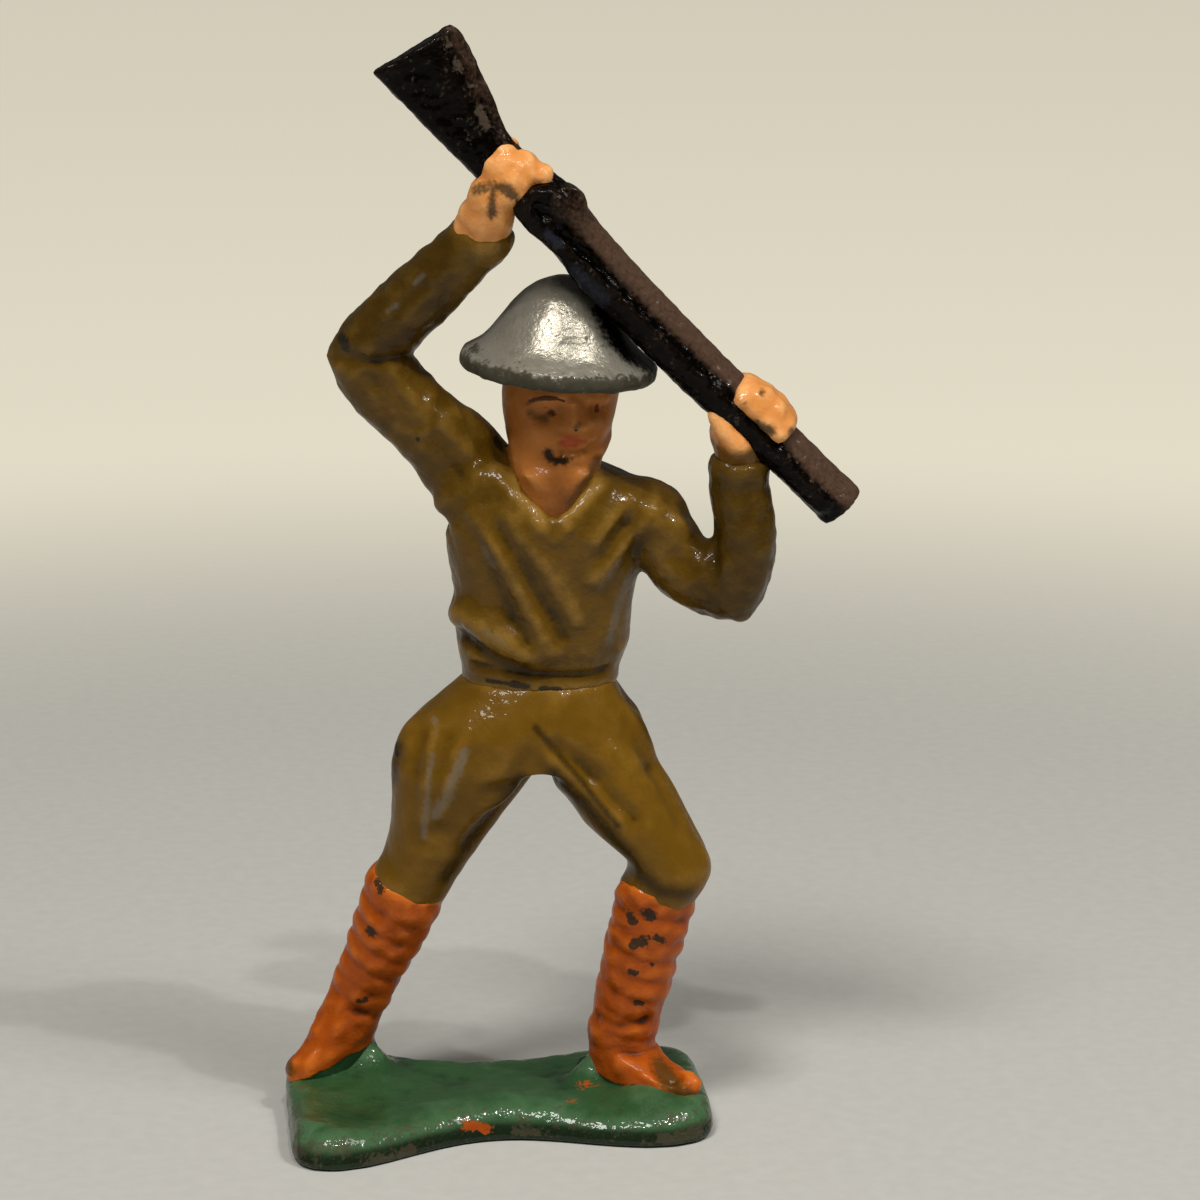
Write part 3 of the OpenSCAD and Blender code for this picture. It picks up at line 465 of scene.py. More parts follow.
breeches_paint = enamel(
    "breeches_enamel", card(52, 38, 6), card(106, 75, 14), card(140, 102, 32),
    marks=(("dirt_and_shade", card(42, 32, 10), 0.7, 0.5, 0.8, 0.36),
           ("grey_wear_and_sheen", card(132, 122, 104), 1.2, 0.36, 0.6, 0.3),
           ("bare", card(36, 30, 16), 0.7, 0.15, 0.85, 0.45)),
    gloss=0.36, lump=0.3, grit=0.2)
breeches_clay = clay_of("right_breeches_leg", "left_breeches_leg", "breeches_seat")
beads(breeches_clay, ((3.6, -1.4, 31.5), (5.7, -1.4, 30.1), (7.3, -1.6, 28.5), (9.2, -1.8, 26.6)),
      (2.3, 2.1, 2.0, 2.0))
beads(breeches_clay, ((5.4, -2.3, 33.2), (8.0, -2.6, 31.2), (9.4, -2.9, 29.6)), (2.5, 2.5, 2.5))
beads(breeches_clay, ((4.3, -1.7, 30.4), (5.0, -1.8, 29.7), (5.9, -1.9, 28.8)), (1.75, 1.65, 1.6))
beads(breeches_clay, ((1.4, -2.9, 29.8), (0.2, -2.8, 28.6), (-0.9, -2.7, 27.4)), (1.45, 1.5, 1.5))
beads(breeches_clay, ((4.6, -3.0, 30.4), (5.4, -3.0, 29.6), (6.4, -3.2, 28.5)), (1.4, 1.45, 1.4))
beads(breeches_clay, ((12.9, -2.6, 21.0), (12.4, -2.4, 18.0)), (2.5, 2.3))
beads(breeches_clay, ((-6.6, 1.8, 21.0), (-7.3, 2.2, 18.2)), (2.5, 2.3))
breeches, cloth = cast("breeches_casting", breeches_clay, grain=0.22, rounds=22)
waist_share = rise(cloth[:, 2], 34.4, 1.6)
cloth -= (0.3 * waist_share)[:, None] * outward(breeches, cloth) * np.array((1, 1, 0))
cloth[:, 2] += 0.4 * waist_share
cloth = modelled(breeches, cloth, (
    (-1.0, 2.4, ((11.6, 0.5, 35.0), (12.8, 0.3, 32.8))),
    (-0.6, 1.3, ((2.0, -1.8, 28.1), (0.9, -1.8, 26.9), (-0.6, -1.8, 25.3), (-2.0, -1.8, 23.8))),
    (-0.9, 1.1, ((3.2, -1.4, 28.8), (3.3, -3.0, 29.0))),
    (-0.35, 1.2, ((2.2, -5.0, 29.7), (3.2, -5.0, 29.9), (4.2, -5.0, 29.7))),
    (0.2, 1.12, ((-5.0, -2.8, 33.1), (-5.4, -3.5, 29.7), (-6.1, -2.7, 25.8))),
    (0.2, 1.0, ((-3.1, -4.3, 31.8), (-4.1, -4.3, 29.1), (-4.5, -3.4, 26.2))),
    (-0.24, 0.75, ((-6.0, -2.3, 32.3), (-6.7, -2.7, 28.3), (-6.3, -2.2, 23.7))),
    (-0.27, 0.75, ((-4.2, -3.6, 32.6), (-5.1, -3.9, 29.0), (-5.1, -2.9, 24.9))),
    (-0.2, 0.88, ((-2.2, -4.6, 31.6), (-3.1, -4.1, 28.1), (-4.0, -3.1, 24.9))),
    (-0.34, 0.7, ((4.4, -5.0, 32.2), (6.3, -4.9, 30.5), (8.6, -5.5, 28.1), (10.5, -5.9, 26.2))),
    (0.26, 0.8, ((4.2, -5.1, 30.8), (6.4, -4.6, 28.8), (9.1, -5.8, 26.4))),
    (-0.14, 1.1, ((3.0, -4.7, 33.6), (2.7, -5.0, 32.8), (2.8, -5.1, 31.1), (3.4, -3.5, 29.6))),
    (-0.24, 0.88, ((2.2, -5.1, 31.4), (0.8, -5.0, 29.4), (-0.7, -3.4, 26.9))),
    (0.14, 0.62, ((11.0, -1.8, 34.4), (13.1, -0.9, 29.6), (15.0, -1.5, 26.0), (16.2, -2.4, 23.0))),
    (-0.17, 0.75, ((10.2, -3.0, 33.4), (12.2, -3.4, 29.6), (14.2, -4.4, 25.6))),
    (0.2, 1.5, ((15.6, -5.2, 24.0), (16.4, -4.0, 22.0))),
    (-0.2, 1.12, ((11.4, -6.2, 23.8), (13.0, -6.6, 22.4))),
    (0.15, 0.75, ((-0.8, -2.7, 36.0),)), (0.15, 1.0, ((4.5, -4.2, 35.4),)),
    (0.27, 1.5, ((-7.6, 0.4, 33.0), (-7.9, 0.6, 30.0))),
    (-0.27, 1.0, ((3.6, 7.0, 35.0), (3.2, 7.2, 31.5), (3.2, 5.0, 29.0))),
    (-0.24, 0.88, ((1.5, 6.6, 30.6), (-2.0, 6.8, 29.0), (-5.0, 6.0, 27.4))),
    (-0.2, 0.88, ((-2.0, 6.6, 26.4), (-4.6, 6.0, 25.0), (-7.0, 5.4, 24.4))),
    (0.2, 1.12, ((0.0, 6.8, 29.2), (-3.6, 6.6, 27.6))),
    (-0.24, 0.88, ((5.6, 6.0, 30.6), (9.0, 5.0, 28.0), (12.0, 3.4, 26.0))),
    (-0.2, 0.75, ((9.4, 3.4, 25.2), (12.4, 2.4, 23.6), (15.0, 1.0, 23.0)))))
cloth = swelled(breeches, cloth, 0.06 * lumps(cloth, 1.4))
keep_relief(breeches, cloth, depth=0.4, rounds=40)
# These marks are painted shade: in the creases and seams, along the inner edges of the thighs and above the
# left puttee.
mark(breeches, "dirt_and_shade", cloth, (
    (0.62,
     ((1.5, -4.6, 29.3), (0.5, -2.9, 27.5), (-0.6, -2.5, 25.8), (-1.8, -2.1, 24.0), (-4.1, -1.4, 20.7))),
    (0.55, ((4.3, -4.4, 29.7), (5.6, -3.6, 28.2), (7.6, -4.9, 26.0), (9.1, -5.5, 24.4), (10.0, -5.7, 23.3))),
    (0.26, ((2.8, -4.9, 33.6), (3.9, -5.1, 32.3), (5.3, -5.0, 30.6), (8.0, -5.3, 27.2), (9.2, -5.8, 25.7))),
    (0.28,
     ((9.8, -1.1, 36.2), (11.0, -1.8, 34.4), (12.2, -2.1, 32.1), (13.6, -2.6, 29.4), (14.8, -3.0, 27.0))),
    (0.35, ((-7.5, -0.1, 31.3), (-7.9, 0.1, 30.0), (-8.0, 0.1, 28.4))),
    (0.6, ((10.2, -5.7, 22.8), (10.8, -5.6, 21.6), (12.6, -6.0, 20.4), (14.8, -5.0, 20.0)))))
mark(breeches, "grey_wear_and_sheen", cloth, (
    (0.42, ((-2.8, -4.4, 31.6), (-3.6, -4.3, 29.6), (-4.3, -3.9, 27.6), (-5.0, -3.3, 26.3))),
    (0.24, ((-4.8, -1.9, 33.7), (-5.5, -3.3, 29.9), (-5.9, -2.6, 24.4))),
    (0.2, ((1.4, -4.4, 27.6), (0.0, -2.6, 25.0))),
    (0.3, ((-7.9, 2.0, 32.0), (-7.6, 3.6, 29.4)))))
mark(breeches, "bare", cloth, (
    (0.2, ((-7.9, 0.2, 31.4), (-7.7, -0.2, 30.6))), (0.3, ((4.2, -3.0, 29.6), (6.0, -3.4, 28.0))),
    (0.25, ((16.4, -3.0, 22.4),))))
set_down(breeches, cloth, breeches_paint, "breeches_enamel", "right_breeches_leg", "left_breeches_leg",
         "breeches_seat")


# Tunic: waistband, body, sleeves and cuffs are one casting, bloused over the waist and open at
# the neck. The folds run from the armpits to the waist, under a thick olive khaki enamel.

tunic_paint = enamel(
    "tunic_enamel", card(42, 30, 6), card(94, 67, 14), card(136, 102, 40),
    marks=(("brown", card(46, 32, 5), 0.5, 0.5, 0.6, 0.3), ("grey_wear_and_sheen", card(116, 108, 98), 1.0, 0.4, 0.55, 0.3),
           ("bare", card(36, 34, 26), 0.9, 0.2, 0.9, 0.45),
           ("skin", card(172, 104, 48), 0.2, 0.06, 1.0, 0.34)), gloss=0.3, coat=0.3, lump=0.8)
tunic_solids = ["waistband", "tunic"]
for side in ("right", "left"):
    tunic_solids += [side + "_upper_sleeve", side + "_lower_sleeve", side + "_cuff"]
tunic_clay = clay_of(*tunic_solids)
beads(tunic_clay, ((-3.4, 0.9, 53.8), (-2.0, 0.4, 52.2), (-1.3, 0.5, 50.2), (-0.9, 0.5, 48.4)),
      (2.8, 2.7, 2.3, 2.0))
beads(tunic_clay, ((-2.4, 0.6, 56.2), (-1.2, 0.8, 55.2), (0.2, 0.6, 53.0)), (2.2, 2.1, 2.4))
beads(tunic_clay, ((9.6, -0.4, 50.6), (12.6, -1.0, 49.6)), (2.6, 2.9))
beads(tunic_clay, ((10.0, -2.4, 50.6), (11.8, -2.6, 50.0), (13.4, -2.9, 48.8)), (2.0, 2.0, 1.9))
beads(tunic_clay, ((-3.2, -0.6, 51.2), (-2.2, -1.4, 52.0), (-1.0, -2.2, 52.6), (0.2, -2.5, 53.2)),
      (1.7, 1.8, 1.8, 1.5))
beads(tunic_clay, ((-1.6, -3.0, 71.2), (-0.8, -3.9, 71.8), (0.3, -3.8, 72.0)), (2.0, 2.1, 1.4))
tunic, cloth = cast("tunic_casting", tunic_clay, grain=0.22, rounds=24)
hem_share = rise(cloth[:, 2], 37.7, -1.2)
cloth = swelled(tunic, cloth, 0.12 * hem_share)
cloth = modelled(tunic, cloth, (
    (0.34, 0.94,
     ((-1.9, -3.6, 50.6), (-0.7, -4.9, 48.4), (0.4, -5.2, 46.6), (1.7, -5.0, 44.1), (3.0, -5.0, 41.6),
      (4.2, -4.9, 39.8))),
    (0.31, 0.94,
     ((0.8, -5.1, 50.6), (2.2, -5.7, 48.7), (3.6, -5.7, 46.7), (5.0, -5.3, 44.4), (6.0, -4.9, 42.5))),
    (-0.34, 0.75, ((0.0, -5.1, 49.6), (1.9, -5.5, 46.7), (3.2, -5.2, 44.3), (5.0, -5.0, 41.2))),
    (-0.37, 0.94,
     ((-2.3, -2.0, 51.4), (-1.3, -4.6, 48.2), (-0.2, -4.7, 45.2), (1.2, -4.8, 42.2), (2.2, -4.8, 40.4))),
    (0.8, 1.2,
     ((-2.3, -2.2, 42.3), (-1.2, -3.6, 41.6), (0.0, -4.3, 40.8), (1.4, -4.7, 40.0), (2.1, -4.7, 39.6))),
    (-0.5, 0.75, ((-2.4, -1.9, 40.3), (-1.4, -3.2, 39.5), (0.0, -3.9, 38.7), (2.0, -4.3, 38.3))),
    (0.6, 1.0, ((-2.9, -1.0, 42.0), (-3.1, 0.4, 41.8))),
    (-0.4, 0.7, ((-2.7, -1.2, 40.4), (-2.6, 0.4, 40.2))),
    (0.34, 0.88, ((12.0, -0.6, 51.7), (9.8, -4.2, 51.2), (8.6, -5.0, 49.9), (7.4, -5.5, 48.7))),
    (0.34, 0.88, ((11.8, -3.9, 50.1), (10.3, -4.4, 48.5), (8.9, -4.8, 47.0), (7.6, -5.0, 45.6))),
    (-0.31, 0.69, ((11.5, -2.8, 51.0), (9.4, -4.7, 49.5), (8.1, -5.3, 47.5))),
    (-0.27, 0.88, ((11.6, -3.4, 48.4), (10.0, -4.2, 46.4), (8.6, -4.6, 44.2))),
    (0.27, 0.62, ((3.0, -5.7, 50.0), (4.1, -5.9, 48.9), (5.2, -5.8, 49.7))),
    (0.31, 0.81, ((-0.1, -2.0, 53.6), (0.7, -4.3, 52.6), (1.9, -5.1, 51.2), (3.2, -5.6, 49.8))),
    (0.2, 0.75, ((7.9, -4.4, 52.6), (6.8, -5.1, 51.4), (5.9, -5.5, 50.4))),
    (-0.34, 0.4,
     ((-1.9, -2.1, 38.1), (0.0, -3.7, 38.0), (3.1, -4.2, 37.7), (6.1, -3.9, 37.5), (8.7, -2.7, 37.6))),
    (0.24, 1.0, ((9.6, -2.2, 39.6), (9.9, -0.4, 40.0))),
    (0.2, 1.12, ((8.9, -3.6, 41.2), (7.4, -4.4, 39.4))),
    (-0.34, 0.62,
     ((-12.8, 0.0, 62.4), (-10.7, -1.7, 62.6), (-8.9, -2.0, 62.4), (-7.0, -1.5, 62.7), (-6.6, 0.8, 62.6))),
    (0.2, 1.0, ((-11.1, -1.1, 64.6), (-9.7, -2.0, 63.6))),
    (0.2, 0.75, ((-7.8, -1.5, 61.6), (-6.9, -1.6, 60.1), (-5.6, -1.7, 58.8))),
    (-0.17, 0.88, ((-9.4, -1.9, 61.0), (-8.0, -2.0, 59.0), (-6.4, -2.2, 57.2))),
    (0.34, 1.12, ((-3.6, -1.2, 58.0), (-2.4, -0.6, 57.6), (-1.6, -0.8, 56.6))),
    (0.24, 0.75, ((-3.9, -1.9, 57.3), (-3.3, -2.0, 56.4), (-2.1, -2.2, 55.3))),
    (-0.27, 0.88, ((-4.4, -2.2, 56.0), (-3.4, -2.6, 54.6), (-2.6, -2.8, 53.2))),
    (-0.24, 1.0, ((0.4, -1.4, 55.2), (0.8, -2.6, 54.2))),
    (0.14, 0.62, ((-9.0, -2.2, 65.4), (-7.6, -2.9, 67.2))),
    (0.14, 0.62, ((-6.6, -3.4, 66.0), (-4.6, -4.2, 68.8))),
    (-0.14, 0.62, ((-8.0, -2.6, 65.6), (-5.8, -3.8, 68.2))),
    (0.14, 0.75, ((-8.6, 0.6, 68.4), (-7.4, 0.2, 69.6))),
    (-0.31, 0.56, ((16.9, -4.4, 49.6), (16.8, -6.0, 46.4), (17.3, -6.3, 44.3))),
    (0.1, 0.62, ((16.7, -5.4, 53.9), (18.0, -6.7, 53.3), (20.6, -6.1, 53.4))),
    (-0.08, 0.62, ((16.8, -5.8, 52.9), (18.4, -6.9, 52.4), (20.9, -6.0, 52.6))),
    (0.17, 0.62, ((21.2, -5.2, 50.2),)), (0.17, 1.0, ((14.0, -3.6, 49.8), (15.7, -4.8, 47.1))),
    (-0.17, 0.75, ((13.2, -3.4, 48.0), (15.0, -4.8, 45.6))),
    (0.27, 1.0, ((1.2, 6.2, 50.0), (2.6, 6.8, 46.0), (3.4, 6.6, 41.6))),
    (0.27, 1.0, ((7.6, 5.4, 50.0), (6.2, 6.4, 46.0), (5.2, 6.6, 41.6))),
    (-0.27, 1.0, ((4.4, 5.8, 51.0), (4.4, 7.0, 46.0), (4.2, 6.8, 41.0))),
    (0.34, 1.12, ((-1.6, 4.8, 40.6), (1.6, 6.6, 39.8), (5.6, 6.6, 39.6), (9.0, 4.6, 40.4))),
    (-0.27, 0.62, ((-2.2, 3.6, 38.0), (1.0, 6.0, 37.7), (5.0, 6.4, 37.6), (8.6, 4.6, 37.8))),
    (-0.2, 0.88, ((-1.0, 5.0, 50.4), (0.6, 6.2, 46.4), (1.6, 6.4, 43.0))),
    (-0.27, 0.62, ((-12.6, 2.2, 62.4), (-10.0, 4.0, 62.6), (-7.4, 3.4, 62.7))),
    (-0.2, 0.75, ((17.0, -1.6, 48.6), (17.4, -0.8, 45.6)))))
on_arms = np.maximum(rise(cloth[:, 0], -2.5, -1.5), rise(cloth[:, 0], 12.5, 2.5))
cloth = swelled(tunic, cloth, (0.06 + 0.08 * on_arms) * lumps(cloth, 1.1) + 0.03 * lumps(cloth, 0.5))
collar = np.array(((0.8, 55.3), (1.7, 52.3), (3.8, 50.4), (4.5, 50.2), (5.6, 50.9), (8.3, 54.2)))
in_neck = np.full(len(cloth), np.inf)
for start, end in zip(collar[:-1], collar[1:]):
    way = (end - start) / np.linalg.norm(end - start)
    in_neck = np.minimum(in_neck, (cloth[:, 2] - start[1]) * way[0] - (cloth[:, 0] - start[0]) * way[1])
at_throat = np.where((cloth[:, 1] < -1.0) & (cloth[:, 2] < 56), 1, 0)
cloth[:, 1] += 1.5 * rise(in_neck, 0.1, 0.4) * at_throat
keep_relief(tunic, cloth, depth=0.42, rounds=40)
keep(tunic, "skin", np.clip(0.5 + 0.9 * (in_neck - 0.3), 0, 1) * at_throat)
forearms = np.maximum(rise(cloth[:, 2], 62, 2), rise(cloth[:, 0], 13.5, 3))
keep(tunic, "brown", on_arms * np.clip(forearms, 0.35, 1))
# On the tunic the grey marks are painted sheen: down the left flank and on raised folds of the chest, the
# waist and the right forearm.
mark(tunic, "grey_wear_and_sheen", cloth, (
    (0.35, ((10.6, -3.0, 45.6), (9.4, -3.4, 42.7), (8.7, -3.6, 40.2))),
    (0.3, ((-1.0, -3.9, 41.4), (0.4, -4.5, 40.6))),
    (0.2, ((-8.2, -2.4, 66.4), (-7.6, -2.8, 66.9))), (0.2, ((-6.2, -3.2, 68.6), (-5.6, -3.5, 69.2))),
    (0.2, ((-1.2, -4.6, 48.0), (-0.4, -5.0, 46.4)))))
mark(tunic, "bare", cloth, (
    (0.45, ((-11.7, -0.8, 64.0), (-11.4, -1.0, 63.5))), (0.22, ((-8.6, -1.4, 57.2),)),
    (0.2, ((-6.0, -1.8, 56.2),)),
    (0.3, ((1.2, -3.6, 36.9), (2.2, -3.8, 36.7))), (0.24, ((3.4, -3.9, 36.5), (4.8, -3.9, 36.4))),
    (0.16, ((-0.8, -2.8, 37.0), (1.2, -3.6, 36.9))), (0.25, ((0.2, -0.6, 55.8), (0.8, -1.2, 55.0)))))
set_down(tunic, cloth, tunic_paint, "tunic_enamel", *tunic_solids)


# Neck and head: a flesh-coloured casting. The face is only lightly modelled, and brows, eyes and lips are
# put in with a fine brush. Paint has come off the chin in a dark crescent, and painted shade darkens the
# throat under the chin, the right edge of the face, the left side of the neck and a dot under the nose.

flesh_paint = enamel(
    "flesh_enamel", card(116, 66, 26), card(180, 112, 52), card(214, 150, 88),
    marks=(("throat_shade", card(112, 64, 26), 0.5, 0.6, 0.75, 0.36),
           ("rouge", card(190, 70, 46), 0.7, 0.45, 0.75, 0.3),
           ("dust_and_shade", card(92, 70, 44), 0.9, 0.4, 0.75, 0.4),
           ("red", card(104, 30, 20), 0.6, 0.2, 0.85, 0.3), ("brown", card(66, 28, 14), 0.6, 0.2, 0.9, 0.3),
           ("black", card(26, 22, 14), 0.9, 0.3, 0.95, 0.3)), gloss=0.34, coat=0.14, lump=0.3)
head_clay = clay_of("neck", "head")
beads(head_clay, ((4.7, -0.5, 57.0), (4.6, -1.5, 54.8), (4.45, -1.8, 52.4), (4.4, -1.9, 50.8)),
      (3.7, 3.6, 3.5, 3.5))
beads(head_clay,
      ((2.5, -1.7, 56.0), (3.4, -2.7, 55.2), (4.9, -3.0, 55.0), (6.6, -2.4, 55.2), (7.2, -1.4, 56.0)),
      (1.8,) * 5)
beads(head_clay, ((5.2, -2.7, 55.4), (4.9, -3.1, 54.4), (4.7, -3.2, 53.2)), (2.2, 2.1, 2.0))
beads(head_clay, ((3.2, -2.0, 55.0), (3.5, -2.3, 53.4)), (2.1, 2.0))
beads(head_clay, ((6.7, -1.9, 55.0), (6.2, -2.2, 53.4)), (2.1, 2.0))
head, face = cast("neck_and_head", head_clay, grain=0.1, rounds=40)
throat = rise(face[:, 2], 55.4, -0.8)[:, None]
face = throat * eased(head, face.copy(), rounds=220) + (1 - throat) * face
face[:, 0] += 0.5 * rise(face[:, 2], 54.5, 2.5)
face = modelled(head, face, (
    (-0.28, 0.75, ((3.3, -5.5, 58.6), (4.3, -5.8, 58.7))),
    (-0.28, 0.7, ((7.2, -5.0, 58.8), (7.9, -4.4, 58.8))),
    (0.4, 0.5, ((5.7, -6.0, 59.4), (5.8, -6.2, 57.6))), (0.22, 0.5, ((5.2, -6.0, 57.4), (6.5, -5.8, 57.4))),
    (0.2, 0.45, ((2.6, -5.3, 59.8), (4.9, -5.9, 60.0))), (0.2, 0.4, ((6.9, -5.3, 59.7), (8.2, -4.3, 59.6))),
    (0.2, 0.4, ((4.9, -5.4, 56.6), (6.2, -5.3, 56.7), (7.2, -4.4, 56.5))),
    (0.16, 0.35, ((5.3, -5.2, 56.0), (6.7, -4.7, 56.0))),
    (-0.16, 0.3, ((4.8, -5.3, 56.3), (7.1, -4.3, 56.25))),
    (-0.2, 0.45, ((5.0, -5.0, 55.5), (6.6, -4.4, 55.5))),
    (0.28, 0.7, ((5.4, -4.8, 54.9), (6.4, -4.3, 54.9))), (0.2, 1.0, ((3.2, -5.0, 57.0),)),
    (0.2, 0.9, ((8.0, -3.6, 57.2),))))
face = swelled(head, face, 0.03 * lumps(face, 0.9))
keep_relief(head, face, depth=0.3, rounds=60)
# The last black dot, under the tip of the nose, is painted shade; the rest is the chipped chin.
mark(head, "black", face, (
    (0.38, ((3.85, -5.0, 55.5), (4.0, -5.0, 55.15))),
    (0.32, ((4.0, -4.9, 55.1), (4.5, -4.9, 54.88), (5.2, -4.8, 54.9))),
    (0.17, ((5.0, -4.8, 54.78), (5.6, -4.7, 55.0))), (0.12, ((5.9, -6.0, 57.4),))))
mark(head, "brown", face, (
    (0.2, ((2.2, -5.0, 59.25), (2.55, -5.3, 59.55))),
    (0.2, ((2.5, -5.2, 59.55), (3.0, -5.5, 59.8), (3.6, -5.7, 59.92), (4.3, -5.8, 59.9))),
    (0.11, ((4.3, -5.8, 59.9), (5.0, -5.9, 59.7))), (0.27, ((4.05, -5.7, 58.75), (4.15, -5.8, 58.65))),
    (0.1, ((3.2, -5.4, 59.0), (3.7, -5.6, 59.12), (4.3, -5.8, 59.02)))))
mark(head, "red", face, (
    (0.12, ((7.1, -5.0, 59.5), (8.0, -4.2, 59.5), (8.6, -3.6, 59.45))),
    (0.22, ((7.6, -4.7, 59.02), (7.65, -4.7, 58.8)))))
# The throat under the chin is darkened with painted shade.
mark(head, "throat_shade", face, ((1.3, ((4.4, -5.0, 53.8), (4.8, -5.2, 52.2), (4.9, -5.2, 51.0))),))
mark(head, "rouge", face, (
    (0.32, ((5.0, -5.4, 56.4), (5.5, -5.5, 56.6), (6.0, -5.3, 56.5))),
    (0.22, ((5.2, -5.3, 56.08), (6.0, -5.1, 56.12))),
    (0.2, ((6.0, -5.3, 56.5), (6.7, -4.9, 56.38)))))
# Some of these marks are dust on the face; those below the chin, along the face's right edge and down the
# left side of the neck are painted shade.
mark(head, "dust_and_shade", face, (
    (0.34, ((2.5, -5.2, 58.6), (3.1, -5.4, 58.3), (3.5, -5.5, 58.25))),
    (0.2, ((4.6, -4.5, 54.6), (6.2, -4.2, 55.1))), (0.25, ((5.9, -5.8, 57.6), (6.1, -5.7, 57.9))),
    (0.2, ((0.2, -1.4, 59.8), (0.5, -2.0, 57.0), (1.0, -2.6, 55.4))),
    (0.45, ((5.6, -5.0, 51.4), (6.6, -4.6, 53.0), (7.8, -3.4, 54.4)))))
set_down(head, face, flesh_paint, "flesh_enamel", "neck", "head")


# Helmet: a steel helmet with a broad brim, cast to sit on the head and brushed with silver paint.
# The silver is rubbed off the thick rim, where the old olive paint shows.

helmet_tree, sizes, helmet_end = tree_with("turned_helmet", {
    "Crown height": "Float", "Dome radius": "Float", "Brim radius": "Float", "Brim rise": "Float",
    "Rim": "Float", "Paint": "Material"})


def on_helmet(tree, share_out, radius, share_up, height):
    """A corner of the helmet's outline, as shares of two of its sizes."""
    out = sums(tree, radius, share_out, -1.0)
    up = sums(tree, height, -share_up, 0.0)
    return add(tree, "ShaderNodeCombineXYZ", {"X": out, "Y": up}).outputs[0]


dome_outline = ((0.0, 1.0), (0.11, 0.99), (0.226, 0.955), (0.4, 0.88), (0.557, 0.77), (0.704, 0.62),
                (0.852, 0.43), (0.974, 0.26))
brim_outline = ((0.812, 1.0), (0.896, 0.5), (0.955, 0.16))
rim_outline = ((0.99, 0.0), (1.005, -0.6), (1.0, -1.2), (0.975, -1.7), (0.93, -1.95), (0.88, -1.8))
outline = [on_helmet(helmet_tree, r, sizes["Dome radius"], z, sizes["Crown height"])
           for r, z in dome_outline]
outline += [on_helmet(helmet_tree, r, sizes["Brim radius"], z, sizes["Brim rise"]) for r, z in brim_outline]
outline += [on_helmet(helmet_tree, r, sizes["Brim radius"], z, sizes["Rim"]) for r, z in rim_outline]
outline += [on_helmet(helmet_tree, 0.8, sizes["Dome radius"], 0.02, sizes["Crown height"])]
outline += [on_helmet(helmet_tree, 0.0, sizes["Dome radius"], 0.04, sizes["Crown height"])]
ring = add(helmet_tree, "GeometryNodeCurvePrimitiveCircle", {"Resolution": 72, "Radius": 1.0})
ring = add(helmet_tree, "GeometryNodeSetCurveNormal", {"Curve": ring.outputs[0]}, mode="Z_UP")
joined = helmet_tree.nodes.new("GeometryNodeJoinGeometry")
for start, end in zip(outline[:-1], outline[1:]):
    stretch = add(helmet_tree, "GeometryNodeCurvePrimitiveLine", {"Start": start, "End": end})
    turned = add(helmet_tree, "GeometryNodeCurveToMesh", {
        "Curve": ring.outputs[0], "Profile Curve": stretch.outputs[0]})
    helmet_tree.links.new(turned.outputs[0], joined.inputs[0])
closed = add(helmet_tree, "GeometryNodeMergeByDistance", {"Geometry": joined.outputs[0], "Distance": 0.01})
real = add(helmet_tree, "GeometryNodeRealizeInstances", {"Geometry": closed.outputs[0]})
coated = add(helmet_tree, "GeometryNodeSetMaterial",
             {"Geometry": real.outputs[0], "Material": sizes["Paint"]})
helmet_tree.links.new(coated.outputs[0], helmet_end[0])

silver_paint = enamel(
    "silver_enamel", card(104, 100, 88), card(150, 145, 132), card(184, 180, 170),
    marks=(("rubbed_and_lit", card(52, 47, 28), 1.7, 0.3, 0.88, 0.5),
           ("specks", card(104, 62, 44), 0.3, 0.15, 0.8, 0.5),
           ("smear", card(84, 90, 104), 1.0, 0.35, 0.8, 0.35), ("slop_and_shadow", card(5, 4, 3), 0.6, 0.25, 1.0, 0.4)),
    gloss=0.3, metal=0.45, coat=0.1, lump=0.6)
helmet_clay = bmesh.new()
helmet_clay.from_mesh(growth("helmet_turned", helmet_tree, {
    "Crown height": 6.5, "Dome radius": 5.75, "Brim radius": 7.7, "Brim rise": 0.95, "Rim": 0.7,
    "Paint": silver_paint}))
bmesh.ops.recalc_face_normals(helmet_clay, faces=helmet_clay.faces)
brim_middle = (5.1, -1.5, 62.45)
lean_left = math.radians(4.8)
lean_forward = math.radians(3.5)
helmet_stand = Matrix.Translation(brim_middle) @ Matrix.Rotation(lean_left, 4, "Y")
helmet_stand = helmet_stand @ Matrix.Rotation(lean_forward, 4, "X")
bmesh.ops.transform(helmet_clay, matrix=helmet_stand, verts=helmet_clay.verts)
helmet, shell = cast("steel_helmet", helmet_clay, grain=0.17, rounds=6)
own = (shell - np.array(helmet_stand.translation)) @ np.array(helmet_stand.to_3x3())
out_share = np.clip((np.hypot(own[:, 0], own[:, 1]) - 6.2) / 1.4, 0, 1)
shell = swelled(helmet, shell, out_share * (0.16 * lumps(shell, 1.5) + 0.07 * lumps(shell, 0.6)))
shell = swelled(helmet, shell, 0.05 * lumps(shell, 1.6))
keep_relief(helmet, shell, depth=0.4, rounds=30)
# On the helmet this mark is only wear, where the old olive paint shows.
rub = np.clip(0.5 - 0.7 * (own[:, 2] - 0.15 + 0.5 * lumps(shell, 0.9)), 0, 1) * out_share
keep(helmet, "rubbed_and_lit", np.maximum(rub, painted(shell, ((0.4, ((-1.6, -2.6, 63.4), (-0.9, -4.0, 62.6))),))))
mark(helmet, "specks", shell, (
    (0.2, ((3.2, -5.7, 66.6), (3.5, -5.8, 66.8))), (0.17, ((6.7, -6.8, 64.6),)),
    (0.16, ((1.1, -5.4, 63.8), (1.5, -5.6, 63.6)))))
